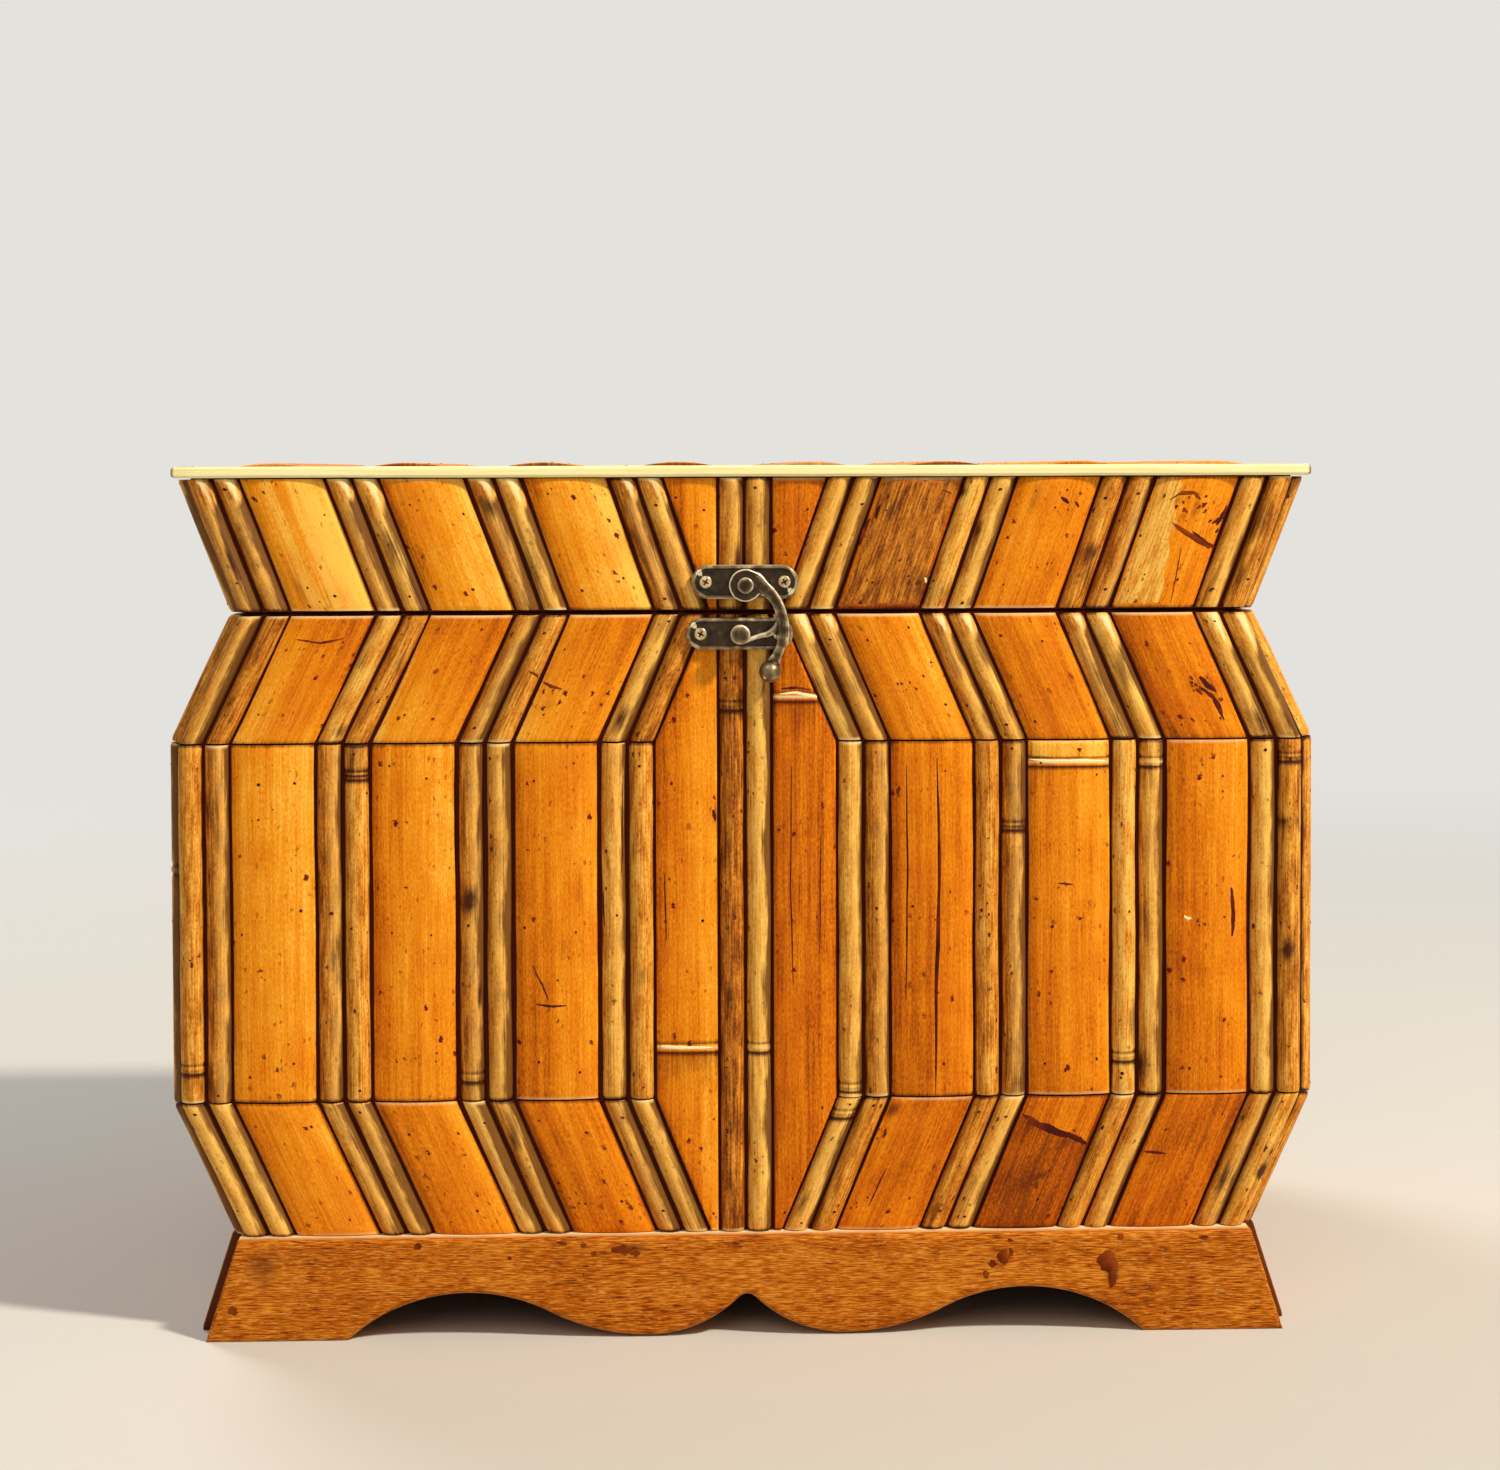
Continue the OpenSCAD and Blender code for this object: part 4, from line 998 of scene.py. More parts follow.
def centre_pieces(edge, band, back, slat_tones=None, stick_tones=None):
    """The two slats and two sticks up the middle of the front or the back."""
    slats, sticks = [], []
    for i, side in enumerate((-1, 1)):
        slat_style = any_slat(band[1] - band[0])
        stick_style = any_stick(band[1] - band[0])
        if slat_tones:
            # painted shading: the left slat darker towards its left edge
            slat_style.update(tone=slat_tones[i], slopes=(side * 0.1 - 0.1, 0))
            stick_style["tone"] = stick_tones[i]
        slats.append(centre_slat(side, edge, band, back=back, **slat_style))
        sticks.append(chevron_bar(stick_section, side, CENTRE_STICK_U, STICK_W, UPRIGHT, band, back=back,
                                  **stick_style))
    return slats, sticks


def lay_pair(name, slats, sticks, body):
    """The slats and the sticks of one part of the cladding, as two pieces."""
    lay_bars(f"{name}_slats_dressed", slats, bamboo, "bamboo_slat", body, f"{name}_slats")
    lay_bars(f"{name}_sticks_dressed", sticks, cane, "cane_stick", body, f"{name}_sticks")


BODY_BANDS = {"lower": LOWER_BAND, "middle": MIDDLE_BAND, "upper": UPPER_BAND}
for band_name, band in BODY_BANDS.items():
    lay_pair(f"front_{band_name}", *clad_face(BODY_EDGE, band, False), "box")
lay_pair("front_centre", *centre_pieces(BODY_EDGE, BODY_HEIGHT, False, (0.47, 0.7), (0.62, 0.2)), "box")
lay_pair("lid_front", *clad_face(LID_EDGE, LID_BAND, False), "lid")
lay_pair("lid_centre", *centre_pieces(LID_EDGE, LID_BAND, False, (0.5, 0.66), (0.45, 0.35)), "lid")

back_bands = [clad_face(BODY_EDGE, band, True) for band in BODY_BANDS.values()]
lay_pair("back", *[sum(bars, []) for bars in zip(*back_bands)], "box")
lay_pair("back_centre", *centre_pieces(BODY_EDGE, BODY_HEIGHT, True), "box")
lid_bars = zip(clad_face(LID_EDGE, LID_BAND, True), centre_pieces(LID_EDGE, LID_BAND, True))
lay_pair("lid_back", *[leaning + upright for leaning, upright in lid_bars], "lid")

for side_name, side in (("left", -1), ("right", 1)):
    for body, edge, prefix in (("box", BODY_EDGE, ""), ("lid", LID_EDGE, "lid_")):
        slats, sticks = [], []
        for i in range(len(edge) - 1):
            slats += side_bars(edge, i, SIDE_SLAT_YS, SIDE_SLAT_W, slat_section, side, any_slat)
            sticks += side_bars(edge, i, SIDE_STICK_YS, STICK_W, stick_section, side, any_stick)
        lay_pair(f"{prefix}{side_name}", slats, sticks, body)

# Top of the lid: flattened sticks and low slats that run from front to back, inside pale strips
STRIP_W = 2 * (LID_EDGE[1][0] + CLAD_T / math.cos(LID_SLOPE) + EDGE_OVER)
STRIP_D = CARCASS_D + 2 * (CLAD_T + EDGE_OVER)
TOP_W = STRIP_W - 2 * EDGE_STRIP_T
TOP_D = STRIP_D - 2 * EDGE_STRIP_T
TOP_SLAT_W = (TOP_W - (TOP_SLATS + 1) * PAIR_W) / TOP_SLATS - 2 * JOINT_GAP
TOP_STICK_H = 1.9
TOP_FLATTENED = 0.86
TOP_SLAT_XS, TOP_STICK_XS = laid_out(-TOP_W / 2, TOP_SLAT_W, TOP_SLATS)
top_base = TOP_FACE_Z + GLUE_T


def top_bar(section, x, width, depth, style):
    """A bar on top of the lid, a little flatter than those of the sides."""
    ends = [[x, y, top_base] for y in (-TOP_D / 2, TOP_D / 2)]
    bar = make_bar(section, *ends, RIGHT, UP, width, depth, **style)
    bar["full"] = bar["full"] * TOP_FLATTENED
    return bar


slats = [top_bar(slat_section, x, TOP_SLAT_W, TOP_SLAT_W / 2, any_slat(TOP_D)) for x in TOP_SLAT_XS]
sticks = [top_bar(stick_section, x, STICK_W, TOP_STICK_H, any_stick(TOP_D)) for x in TOP_STICK_XS]
lay_pair("lid_top", slats, sticks, "lid")


def edge_strip(start, end, out):
    """A pale strip that stands on edge round the top, with rounded and darkened ends."""
    bar = make_bar(strip_section, start, end, -UP, out, EDGE_STRIP_H, EDGE_STRIP_T, 0.3, edge_stain=0.25,
                   ends=(0.9, 0.9), mould=FINE_BAR)
    to_end = np.minimum(bar["rows"], bar["length"] - bar["rows"])
    bar["half"] = bar["half"] * (1 - 0.35 * np.clip(1 - to_end / 1.2, 0, 1) ** 2)
    bar["side"] = wave(bar["rows"], 120, 0.12)
    return bar


strip_middle = STRIP_Z + EDGE_STRIP_H / 2
strips = []
for turn in (-1, 1):
    y = -turn * TOP_D / 2
    strips.append(edge_strip([-turn * STRIP_W / 2, y, strip_middle], [turn * STRIP_W / 2, y, strip_middle],
                             [0, -turn, 0]))
    x = turn * TOP_W / 2
    reach = TOP_D / 2 - STRIP_GAP
    strips.append(edge_strip([x, -turn * reach, strip_middle], [x, turn * reach, strip_middle], [turn, 0, 0]))
lay_bars("lid_edge_strips_dressed", strips, pale_cane, "pale_cane", "lid", "lid_edge_strips")

# Brads: small lacquered nail heads near the ends of each bar, and halfway along a long one
BRAD_SIDES = 8
BRAD_R = 0.46
BRAD_SHOULDER = 0.85
BRAD_HEIGHTS = (0.07, 0.12)
LATCH_CLEAR = (17, 178, 204)
DOT_SUNK = -0.15
DOT_EDGE = 0.99
DOT_END = 0.1


def brad_places(bar):
    """Where the brads of a bar are, across it in half widths and along it in millimetres."""
    stick = bar["section"] is stick_section
    pairs = [0] if stick else [-0.5, 0.42]
    inset = 4.5 if stick else 7
    stations = [inset, bar["length"] - inset] + ([bar["length"] / 2] if bar["length"] > LONG_BAR else [])
    places = []
    for along in stations:
        for across in pairs:
            spot = (across + rng.uniform(-0.25, 0.25), along + rng.uniform(-3.5, 3.5))
            if rng.random() < (0.4 if stick else 0.75):
                places.append(spot)
    return places


def dot_on_bar(bar, across, along, wide, tall, shoulder, heights):
    """Rim, shoulder and top of a low dot on a bar.

    wide and tall are the offsets of its rim, shoulder is the share of them that its shoulder has, and
    heights are those of its shoulder and top.
    """
    half = along_bar(bar, "half", along)
    rings = [on_bar(bar, np.clip(across + share * wide / half, -DOT_EDGE, DOT_EDGE),
                    np.clip(along + share * tall, DOT_END, bar["length"] - DOT_END), lift)
             for share, lift in ((1, DOT_SUNK), (shoulder, heights[0]))]
    return *rings, on_bar(bar, np.array([across]), np.array([along]), heights[1])[0]


def dome(points, faces, rim, shoulder, top):
    """Adds a low closed dome to the points and faces of a mesh."""
    first, inner, sides = len(points), len(points) + len(rim), len(rim)
    points += [*rim, *shoulder, top]
    for i in range(sides):
        j = (i + 1) % sides
        faces += [(first + i, first + j, inner + j, inner + i), (inner + i, inner + j, inner + sides)]
    faces.append(tuple(first + i for i in reversed(range(sides))))


def brads(name, bars, body):
    """The brads of those bars as one piece, which leaves out the place of the latch."""
    points, faces = [], []
    for bar in bars:
        for across, along in brad_places(bar):
            size = BRAD_R * rng.uniform(0.7, 1.15)
            turn = turns(BRAD_SIDES) + rng.uniform(0, math.pi)
            squeeze = rng.uniform(0.65, 1)
            rim, shoulder, top = dot_on_bar(bar, across, along, squeeze * size * np.cos(turn),
                                            size * np.sin(turn), BRAD_SHOULDER, BRAD_HEIGHTS)
            x, y, z = top
            if y < 0 and abs(x) < LATCH_CLEAR[0] and LATCH_CLEAR[1] < z < LATCH_CLEAR[2]:
                continue
            dome(points, faces, rim, shoulder, top)
    finish_piece(mesh_object(name, points, faces), oxblood, "antique_bronze", body)


for body in ("box", "lid"):
    brads(f"{body}_brads", [bar for bar in all_bars[body] if bar["section"] is not strip_section], body)

# Splits, smears of lacquer and pale chips on the front, as (points as x and z, greatest width)
SCARS = {
    "box": [
        ([(50.4, 152), (50.9, 120), (50.2, 95), (50.0, 63)], 1.2),
        ([(43.2, 150), (43.5, 120), (43.0, 88)], 0.6), ([(128.0, 117), (128.4, 110), (128.3, 104)], 1.7),
        ([(-54.6, 87.6), (-51.0, 87.0), (-47.6, 87.2)], 0.8),
        ([(-55.5, 98), (-53.0, 92.5), (-51.6, 88.6)], 0.6), ([(-8.8, 138.5), (-8.2, 135.5)], 1.3),
        ([(119.5, 173), (121.5, 170.4), (124, 169)], 2.2),
        ([(73.6, 56.8), (76, 56.1), (77.9, 54.5), (80.6, 54), (83.2, 52.1), (85, 51.7), (87.2, 50),
          (90.9, 48.6)], 2.7),
        ([(75, 55.9), (80, 53.1), (84.6, 50.8)], 2.0), ([(82.6, 52.6), (86.6, 50.9), (90.2, 48.3)], 2.4),
        ([(120, 170), (123, 167.4), (125.5, 164)], 1.6), ([(123, 167), (126, 161.5)], 1.1),
        ([(106, 46.6), (112, 46.2)], 0.9), ([(-33, 146), (-33.2, 122)], 0.7),
        ([(12.5, 150), (12.2, 118), (12.8, 92)], 0.5), ([(19.5, 132), (19.2, 100)], 0.45),
        ([(-21, 122), (-20.6, 104)], 0.5), ([(37.5, 43), (33, 33)], 0.6), ([(-37, 117), (-36.6, 108)], 0.8),
        ([(83, 118.6), (86.4, 118.2)], 0.6), ([(9.8, 170.4), (13.4, 170.7), (17.2, 170.1)], 0.8)],
    "lid": [
        ([(54.0, 223.5), (57.0, 221.2), (59.0, 218)], 2.4), ([(51.4, 222.4), (54, 221.6)], 1.0),
        ([(117.6, 211.4), (119.6, 209.6), (122, 207.9), (125.4, 207.2)], 1.0),
        ([(114.8, 207), (113.4, 200), (111.8, 192.4)], 0.4),
        ([(124.2, 213), (125.4, 215.4), (127.2, 218.2)], 1.6),
        ([(122.6, 213.4), (124.6, 214.6), (127, 215.2)], 1.1), ([(124, 211), (124.9, 212.2)], 1.0),
        ([(83, 220.6), (84.8, 218.8)], 1.2), ([(86.4, 219.4), (87.4, 217.8)], 0.9),
        ([(33.4, 215), (30.6, 208)], 2.0), ([(36.4, 218.6), (35.2, 214.8)], 1.6)]}
SMEARS = {
    "box": [
        ([(-116.5, 184), (-111, 183), (-105.6, 184.2)], 0.8),
        ([(-54, 179.6), (-50.5, 179), (-47, 179.6)], 1.0),
        ([(-53, 172.6), (-50, 171.2), (-47.4, 170.6)], 1.1), ([(-56.5, 175.4), (-54.8, 173.6)], 0.8)],
    "lid": [
        ([(112.6, 219.6), (115.4, 221.4), (118.6, 221.6), (119.8, 219.8)], 1.3),
        ([(113, 213.8), (116, 211), (118.6, 209.2), (121.8, 207.6), (126, 206.9)], 2.1)]}
CHIPS = {
    "box": [
        ([(9.4, 168.9), (13, 169.3), (17, 168.5), (21, 168)], 1.0),
        ([(-25, 76.0), (-18, 75.7), (-9.2, 75.5)], 1.1),
        ([(74.8, 151.3), (80, 150.9), (88, 151.0), (95, 150.8)], 1.0),
        ([(116.8, 109.6), (117.8, 108.8), (118.6, 109)], 1.0)],
    "lid": [([(46.9, 199.4), (47.6, 198)], 1.2)]}
SCAR_STEPS = 15
SCAR_SIDES = 4
SCAR_HEIGHTS = {"edge": -0.02, "top": 0.13, "sunk": -0.3}
SCAR_END = 0.2
SCAR_EDGE = 0.97


def across_at(bar, x, along):
    """How far across a bar of the front x is, in half widths, at places along it."""
    middle = bar["start"][0] + along * bar["axis"][0] + along_bar(bar, "side", along)
    return (x - middle) / along_bar(bar, "half", along)


def front_bar_at(body, x, z):
    """The bar of that body's front that lies at a place, if there is one."""
    for bar in all_bars[body]:
        rise = bar["axis"][2]
        if bar["out"][1] > -0.5 or rise <= 0:
            continue
        along = (z - bar["start"][2]) / rise
        if 0 < along < bar["length"] and abs(across_at(bar, x, along)) < 1:
            return bar
    return None


def scar_path(bar, corners):
    """A jittered run through the corners, as places across and along a bar."""
    share = np.linspace(0, len(corners) - 1, SCAR_STEPS)
    x, z = [np.interp(share, range(len(corners)), places) for places in zip(*corners)]
    x = x + wave(share, 0.8, 0.08)
    along = np.clip((z - bar["start"][2]) / bar["axis"][2], SCAR_END, bar["length"] - SCAR_END)
    return np.clip(across_at(bar, x, along), -SCAR_EDGE, SCAR_EDGE), along


def ribbon(path, out, width):
    """A thin raised ribbon along a path that tapers to both ends, as its points."""
    ahead = np.gradient(path, axis=0)
    beside = np.cross(ahead, out)
    beside /= np.linalg.norm(beside, axis=1)[:, None]
    taper = width / 2 * np.sin(np.linspace(0.04, 0.96, len(path)) * math.pi) ** 0.6
    reach = beside * (taper * rng.uniform(0.75, 1.1, len(path)))[:, None]
    edge, top, sunk = [SCAR_HEIGHTS[place] * out for place in ("edge", "top", "sunk")]
    return np.stack([path - reach + edge, path + top, path + reach + edge, path + sunk], axis=1)


def scars(name, strokes, material, body):
    """The strokes that lie on the front of that body, as one piece."""
    points, faces = [], []
    for corners, width in strokes:
        bar = front_bar_at(body, *np.mean(corners, axis=0))
        if bar is None:
            continue
        first = len(points)
        points += ribbon(on_bar(bar, *scar_path(bar, corners)), bar["out"], width).reshape(-1, 3).tolist()
        for i in range(SCAR_STEPS - 1):
            for j in range(SCAR_SIDES):
                a, b = [first + SCAR_SIDES * i + k % SCAR_SIDES for k in (j, j + 1)]
                faces.append((a, a + SCAR_SIDES, b + SCAR_SIDES, b))
        last = first + SCAR_SIDES * (SCAR_STEPS - 1)
        faces.append(tuple(first + j for j in range(SCAR_SIDES)))
        faces.append(tuple(last + j for j in reversed(range(SCAR_SIDES))))
    obj = mesh_object(name, points, faces)
    face_outwards(obj)
    finish_piece(obj, material, "bamboo_slat", body)


# Flecks of lacquer on the front, in groups: (x, z, reach across, reach up, how many, greatest radius)
FLECKS = {
    "box": [
        (42.9, 171, 1.5, 1.5, 4, 0.6), (54.3, 170.9, 1.5, 1, 3, 0.5), (81.5, 185.8, 4, 1.5, 4, 0.4),
        (119.4, 171.3, 2.6, 2.8, 12, 0.9), (124.5, 164.1, 1.2, 3, 5, 0.7), (40.6, 143.4, 0.6, 1.8, 6, 0.9),
        (46.2, 109.4, 0.5, 0.4, 2, 0.6), (50.3, 109.3, 0.6, 0.4, 2, 0.6), (83.2, 115.6, 1, 2, 2, 0.4),
        (120.2, 107.6, 1.6, 1, 3, 0.7), (120, 149.8, 1.2, 0.4, 2, 0.6), (-52.1, 186.4, 3, 1.5, 4, 0.5),
        (-49.4, 170.9, 3, 3, 6, 0.6), (-128, 135.4, 1, 1.6, 4, 0.5), (-131.5, 127.5, 0.8, 0.4, 2, 0.8),
        (-126.8, 96.2, 1.2, 1.6, 5, 0.6), (-89.6, 73.1, 3, 0.6, 5, 0.5), (-54.7, 109.9, 0.6, 0.6, 2, 0.7),
        (-44.5, 35.4, 1.5, 2, 5, 0.6), (-31.7, 38.6, 2, 0.8, 3, 0.5), (-74.7, 47.2, 1, 1, 3, 0.5),
        (28.4, 33, 1.4, 1, 4, 0.6), (36.4, 52.1, 1.8, 1.6, 6, 0.9), (76.3, 38.9, 0.9, 1.6, 5, 0.9),
        (109.9, 46.5, 1, 0.8, 4, 0.6), (-111, 181.6, 5, 1.6, 6, 0.5)],
    "lid": [
        (56.4, 222.2, 1.4, 1.8, 5, 0.7), (46.4, 200.2, 4, 4, 8, 0.5), (82.8, 217.1, 3, 1, 3, 0.6),
        (78.6, 201.4, 4, 2, 6, 0.55), (-88.6, 218.4, 5, 2, 4, 0.4), (117.5, 217.5, 3.4, 3.6, 12, 0.8)]}
FLECK_SIDES = 10
FLECK_SHOULDER = 0.9
FLECK_HEIGHTS = (0.03, 0.05)


def flecks(name, groups, body):
    """The flecks of those groups as one piece, each longer along its bar than across."""
    points, faces = [], []
    turn = turns(FLECK_SIDES)
    for x, z, reach_x, reach_z, count, largest in groups:
        for _ in range(count):
            spot = (x + rng.uniform(-reach_x, reach_x), z + rng.uniform(-reach_z, reach_z))
            size = largest * rng.uniform(0.35, 1)
            ragged = size * rng.uniform(0.5, 1.1, FLECK_SIDES)
            bar = front_bar_at(body, *spot)
            if bar is None:
                continue
            across, along = [place[0] for place in scar_path(bar, [spot, spot])]
            dome(points, faces, *dot_on_bar(bar, across, along, 0.8 * ragged * np.cos(turn),
                                            1.2 * ragged * np.sin(turn), FLECK_SHOULDER, FLECK_HEIGHTS))
    finish_piece(mesh_object(name, points, faces), thin_oxblood, "bamboo_slat", body)


for body, groups in FLECKS.items():
    flecks(f"{body}_flecks", groups, body)
for kind, material, places in (("scars", oxblood, SCARS), ("smears", thin_oxblood, SMEARS),
                               ("chips", pale_cane, CHIPS)):
    for body, strokes in places.items():
        scars(f"{body}_{kind}", strokes, material, body)

# Places where the lacquer has peeled or pooled: a point on the bar, then the corners of the place
# from its lower left round, across the bar in half widths and along it as a share of its length
PEEL_MOULD = flat_bar(14, 22)
PEEL_END = 0.15
PEEL_SUNK = -0.25
PEEL_RIM = -0.02
PEEL_TOP = 0.07


def peel(name, spot, corners, ragged, tone, material, body):
    """A thin skin with a ragged side that lies on one bar of the front."""
    bar = front_bar_at(body, *spot)
    low_left, low_right, high_right, high_left = np.array(corners)
    right = (PEEL_MOULD["across"][:, None] + 1) / 2
    up = PEEL_MOULD["row"][:, None] / PEEL_MOULD["rows"]
    low = (1 - right) * low_left + right * low_right
    high = (1 - right) * high_left + right * high_right
    spots = (1 - up) * low + up * high
    across = spots[:, 0] + right[:, 0] * wave(up[:, 0], 0.3, ragged)
    along = spots[:, 1] * bar["length"] + (1 - up[:, 0]) * wave(right[:, 0], 0.3, 0.5)
    along = np.clip(along, PEEL_END, bar["length"] - PEEL_END)
    rim = (PEEL_MOULD["row"] == 0) | (np.abs(PEEL_MOULD["across"]) > 0.99)
    lift = np.where(PEEL_MOULD["back"], PEEL_SUNK, np.where(rim, PEEL_RIM, PEEL_TOP))
    plain = np.zeros(len(across))
    lay_skin(name, [on_bar(bar, across, along, lift)], PEEL_MOULD["faces"], [plain + tone],
             [bar_marks(bar, across, along)], [plain + NO_PAINTED_SHADE],
             [np.c_[girth_place(bar, across, along), along]], material, "bamboo_slat", body)


peel("lid_worn_slat", (48, 208), [(-0.97, 0), (0.97, 0), (0.97, 1), (-0.97, 1)], 0, 0.6, cane, "lid")
peel("lid_peel", (118, 208), [(-0.96, 0), (0.14, 0), (-0.34, 1), (-0.96, 1)], 0.05, 0.18, cane, "lid")
peel("lower_peel", (85, 45), [(-0.96, 0.87), (0.96, 0.63), (0.96, 1), (-0.96, 1)], 0, 0.62, bamboo, "box")
peel("node_peel", (85, 140), [(-0.96, 0.953), (0.96, 0.95), (0.96, 1), (-0.96, 1)], 0, 0.1, bamboo, "box")


# Plinth boards: the flat bar again, cut to the scalloped or arched lower edge, with eased edges
def sagitta_radius(half_span, rise):
    """Radius of an arc with that half span and rise."""
    return (half_span ** 2 + rise ** 2) / (2 * rise)


ARCH_R = sagitta_radius(ARCH_END_X - ARCH_X, ARCH_H)
OUTER_R = sagitta_radius(ARCH_X - PENDANT_X, ARCH_H - PENDANT_Z) - ARCH_R
INNER_R = sagitta_radius(PENDANT_X, OGEE_H - PENDANT_Z) - OGEE_R
SIDE_ARCH_R = sagitta_radius(SIDE_ARCH_X, ARCH_H)
OGEE_END_X = PENDANT_X * OGEE_R / (OGEE_R + INNER_R)
PENDANT_END_X = PENDANT_X + (ARCH_X - PENDANT_X) * OUTER_R / (OUTER_R + ARCH_R)


def bow(x, middle, height, radius):
    """Height at x of a round edge whose highest, or for a negative radius lowest, point is given."""
    rise = np.sqrt(np.maximum(radius ** 2 - (x - middle) ** 2, 0))
    return height - radius + math.copysign(1, radius) * rise


def scalloped(x):
    """Lower edge of a long board: an ogee in the middle, two pendants and two arches."""
    x = np.abs(x)
    return np.select(
        [x < OGEE_END_X, x < PENDANT_X, x < PENDANT_END_X, x < ARCH_END_X],
        [bow(x, 0, OGEE_H, OGEE_R), bow(x, PENDANT_X, PENDANT_Z, -INNER_R),
         bow(x, PENDANT_X, PENDANT_Z, -OUTER_R), bow(x, ARCH_X, ARCH_H, ARCH_R)], 0)


def arched(x):
    """Lower edge of a short board: one long arch."""
    return np.where(np.abs(x) < SIDE_ARCH_X, bow(x, 0, ARCH_H, SIDE_ARCH_R), 0)


def board_columns(corners, pitch):
    """Places along half a board, at about that pitch and at each corner, mirrored to the other half."""
    half = [0]
    for start, end in zip(corners, corners[1:]):
        half += list(np.linspace(start, end, max(2, math.ceil((end - start) / pitch) + 1))[1:])
    half = half[:-1] + list(corners[-1] - END_ROWS[::-1])
    return np.array([-x for x in half[:0:-1]] + half)


# Stains on the front board: (x, z, reach along, reach up, mark)
FRONT_BOARD_STAINS = [
    (-30.9, 23.3, 4, 1.2, 0.8), (66, 19.6, 5, 4.2, 0.3), (96.6, 15.1, 1.6, 2.6, 0.9), (-127, 20, 5, 5, 0.5),
    (-110, 24, 9, 1.2, 0.4), (20, 24.5, 14, 1, 0.35), (118, 8, 6, 3, 0.25), (-95, 6, 6, 2, 0.25),
    (40, 9, 8, 2, 0.2), (-134.9, 8.6, 1.5, 1.5, 0.5)]
BOARD_ROWS = 16
BOARD_END = 12
BOARD_EASE = 0.6
BOARD_WAVE = 0.08
# marks at the front and back edge of a board's top; the pale top is a painted highlight, as lit from above
PAINTED_LIT_TOP = (0.2, -2.6)


def plinth_board(name, material, columns, lower, half_top, place, stains=(), end_mark=0):
    """A board whose face is set out by place(along, height, depth into it).

    Only the last stretch of it, BOARD_END long, follows the slope of its ends.
    """
    mould = flat_bar(len(columns) - 1, BOARD_ROWS)
    along = columns[mould["column"]]
    low = lower(along)
    inner = np.linspace(0, 1, BOARD_ROWS - 3)[1:-1]
    share = np.concatenate([[0, 0, 0], inner, [1, 1, 1]])[mould["row"]]
    ease = np.concatenate([END_ROWS, np.zeros(len(inner)), -END_ROWS[::-1]])[mould["row"]]
    start = low + END_ROWS[-1]
    height = start + share * (PLINTH_H - END_ROWS[-1] - start)
    height = np.where(mould["row"] < len(END_ROWS), low + ease, height)
    height = np.where(mould["row"] > BOARD_ROWS - len(END_ROWS), PLINTH_H + ease, height)
    to_end = columns[-1] - np.abs(along)
    fixed = columns[-1] - BOARD_END
    lean = 1 - (columns[-1] - half_top) / BOARD_END * height / PLINTH_H
    along = np.where(to_end < BOARD_END, np.sign(along) * (fixed + (BOARD_END - to_end) * lean), along)
    to_edge = np.minimum(np.minimum(height - low, PLINTH_H - height), to_end)
    eased = BOARD_EASE * np.clip(1 - to_edge, 0, 1) ** 2
    depth = np.where(mould["back"], APRON_T, eased + wave(along, 70, BOARD_WAVE) + BOARD_WAVE)
    painted_lit_top = np.where(mould["back"], PAINTED_LIT_TOP[1], PAINTED_LIT_TOP[0])
    mark = np.where(height > PLINTH_H - 0.1, painted_lit_top, -0.2 * (to_edge < 0.2))
    mark = np.where(to_end < 0.5, end_mark, mark)
    for x, z, reach_x, reach_z, strength in stains:
        mark = mark + strength * hump(along, x, reach_x) * hump(height, z, reach_z)
    obj = mesh_object(f"{name}_dressed", place(along, height, depth), mould["faces"])
    set_values(obj, mark=np.clip(mark, -3, 1))
    finish_piece(obj, material, "apron_wood", "box", name)


FOOT_SLOPE = math.atan2((BELLY_W - FOOT_W) / 2, LOW_Z - FOOT_Z)
PLINTH_TOP_X = FOOT_W / 2 + CLAD_T / math.cos(FOOT_SLOPE) + SIDE_LEDGE
PLINTH_FOOT_X = PLINTH_TOP_X + PLINTH_SPLAY
long_columns = board_columns([0, OGEE_END_X, PENDANT_X, PENDANT_END_X, ARCH_X, ARCH_END_X,
                              PLINTH_FOOT_X - APRON_REVEAL], 1.3)
side_half = APRON_Y - APRON_T
short_columns = board_columns([0, SIDE_ARCH_X, side_half], 2.5)
for name, turn, stains in (("front_apron", 1, FRONT_BOARD_STAINS), ("back_apron", -1, ())):
    plinth_board(name, front_wood, long_columns, scalloped, PLINTH_TOP_X - APRON_REVEAL,
                 lambda x, z, depth: np.c_[turn * x, turn * (depth - APRON_Y), z], stains)
for name, turn in (("left_apron", -1), ("right_apron", 1)):
    plinth_board(name, side_wood, short_columns, arched, side_half, lambda y, z, depth: np.c_[
        turn * (PLINTH_FOOT_X - PLINTH_SPLAY * z / PLINTH_H - depth), turn * y, z], end_mark=0.8)

# Blots of dark lacquer on the front board: (x, z, half width, half height)
BOARD_BLOTS = [
    (95.3, 18.5, 3.1, 3.0), (96.6, 14.2, 1.1, 2.9), (98.7, 25.1, 0.9, 0.8), (120.8, 24.8, 1.5, 0.6),
    (110.5, 4.7, 0.5, 0.4), (69.3, 24.6, 0.8, 0.7), (67.6, 20.2, 1.9, 2.6), (64.8, 18.4, 1.3, 1.4),
    (63, 15.6, 1.0, 1.2), (-48.7, 25.2, 1.5, 0.5), (-43.0, 24.7, 0.9, 0.8), (-40.3, 22.4, 0.9, 0.8),
    (-33.2, 23.4, 3.2, 1.5), (-29.4, 22.2, 1.4, 0.9), (-134.9, 8.4, 1.6, 1.5), (-3.0, 24.6, 1.0, 0.5),
    (-62.4, 21.4, 0.6, 0.5), (-43.1, 17.0, 0.5, 0.4), (-86.4, 24.8, 1.3, 0.9), (69.6, 21.4, 0.7, 1.3)]
BLOT_SIDES = 14
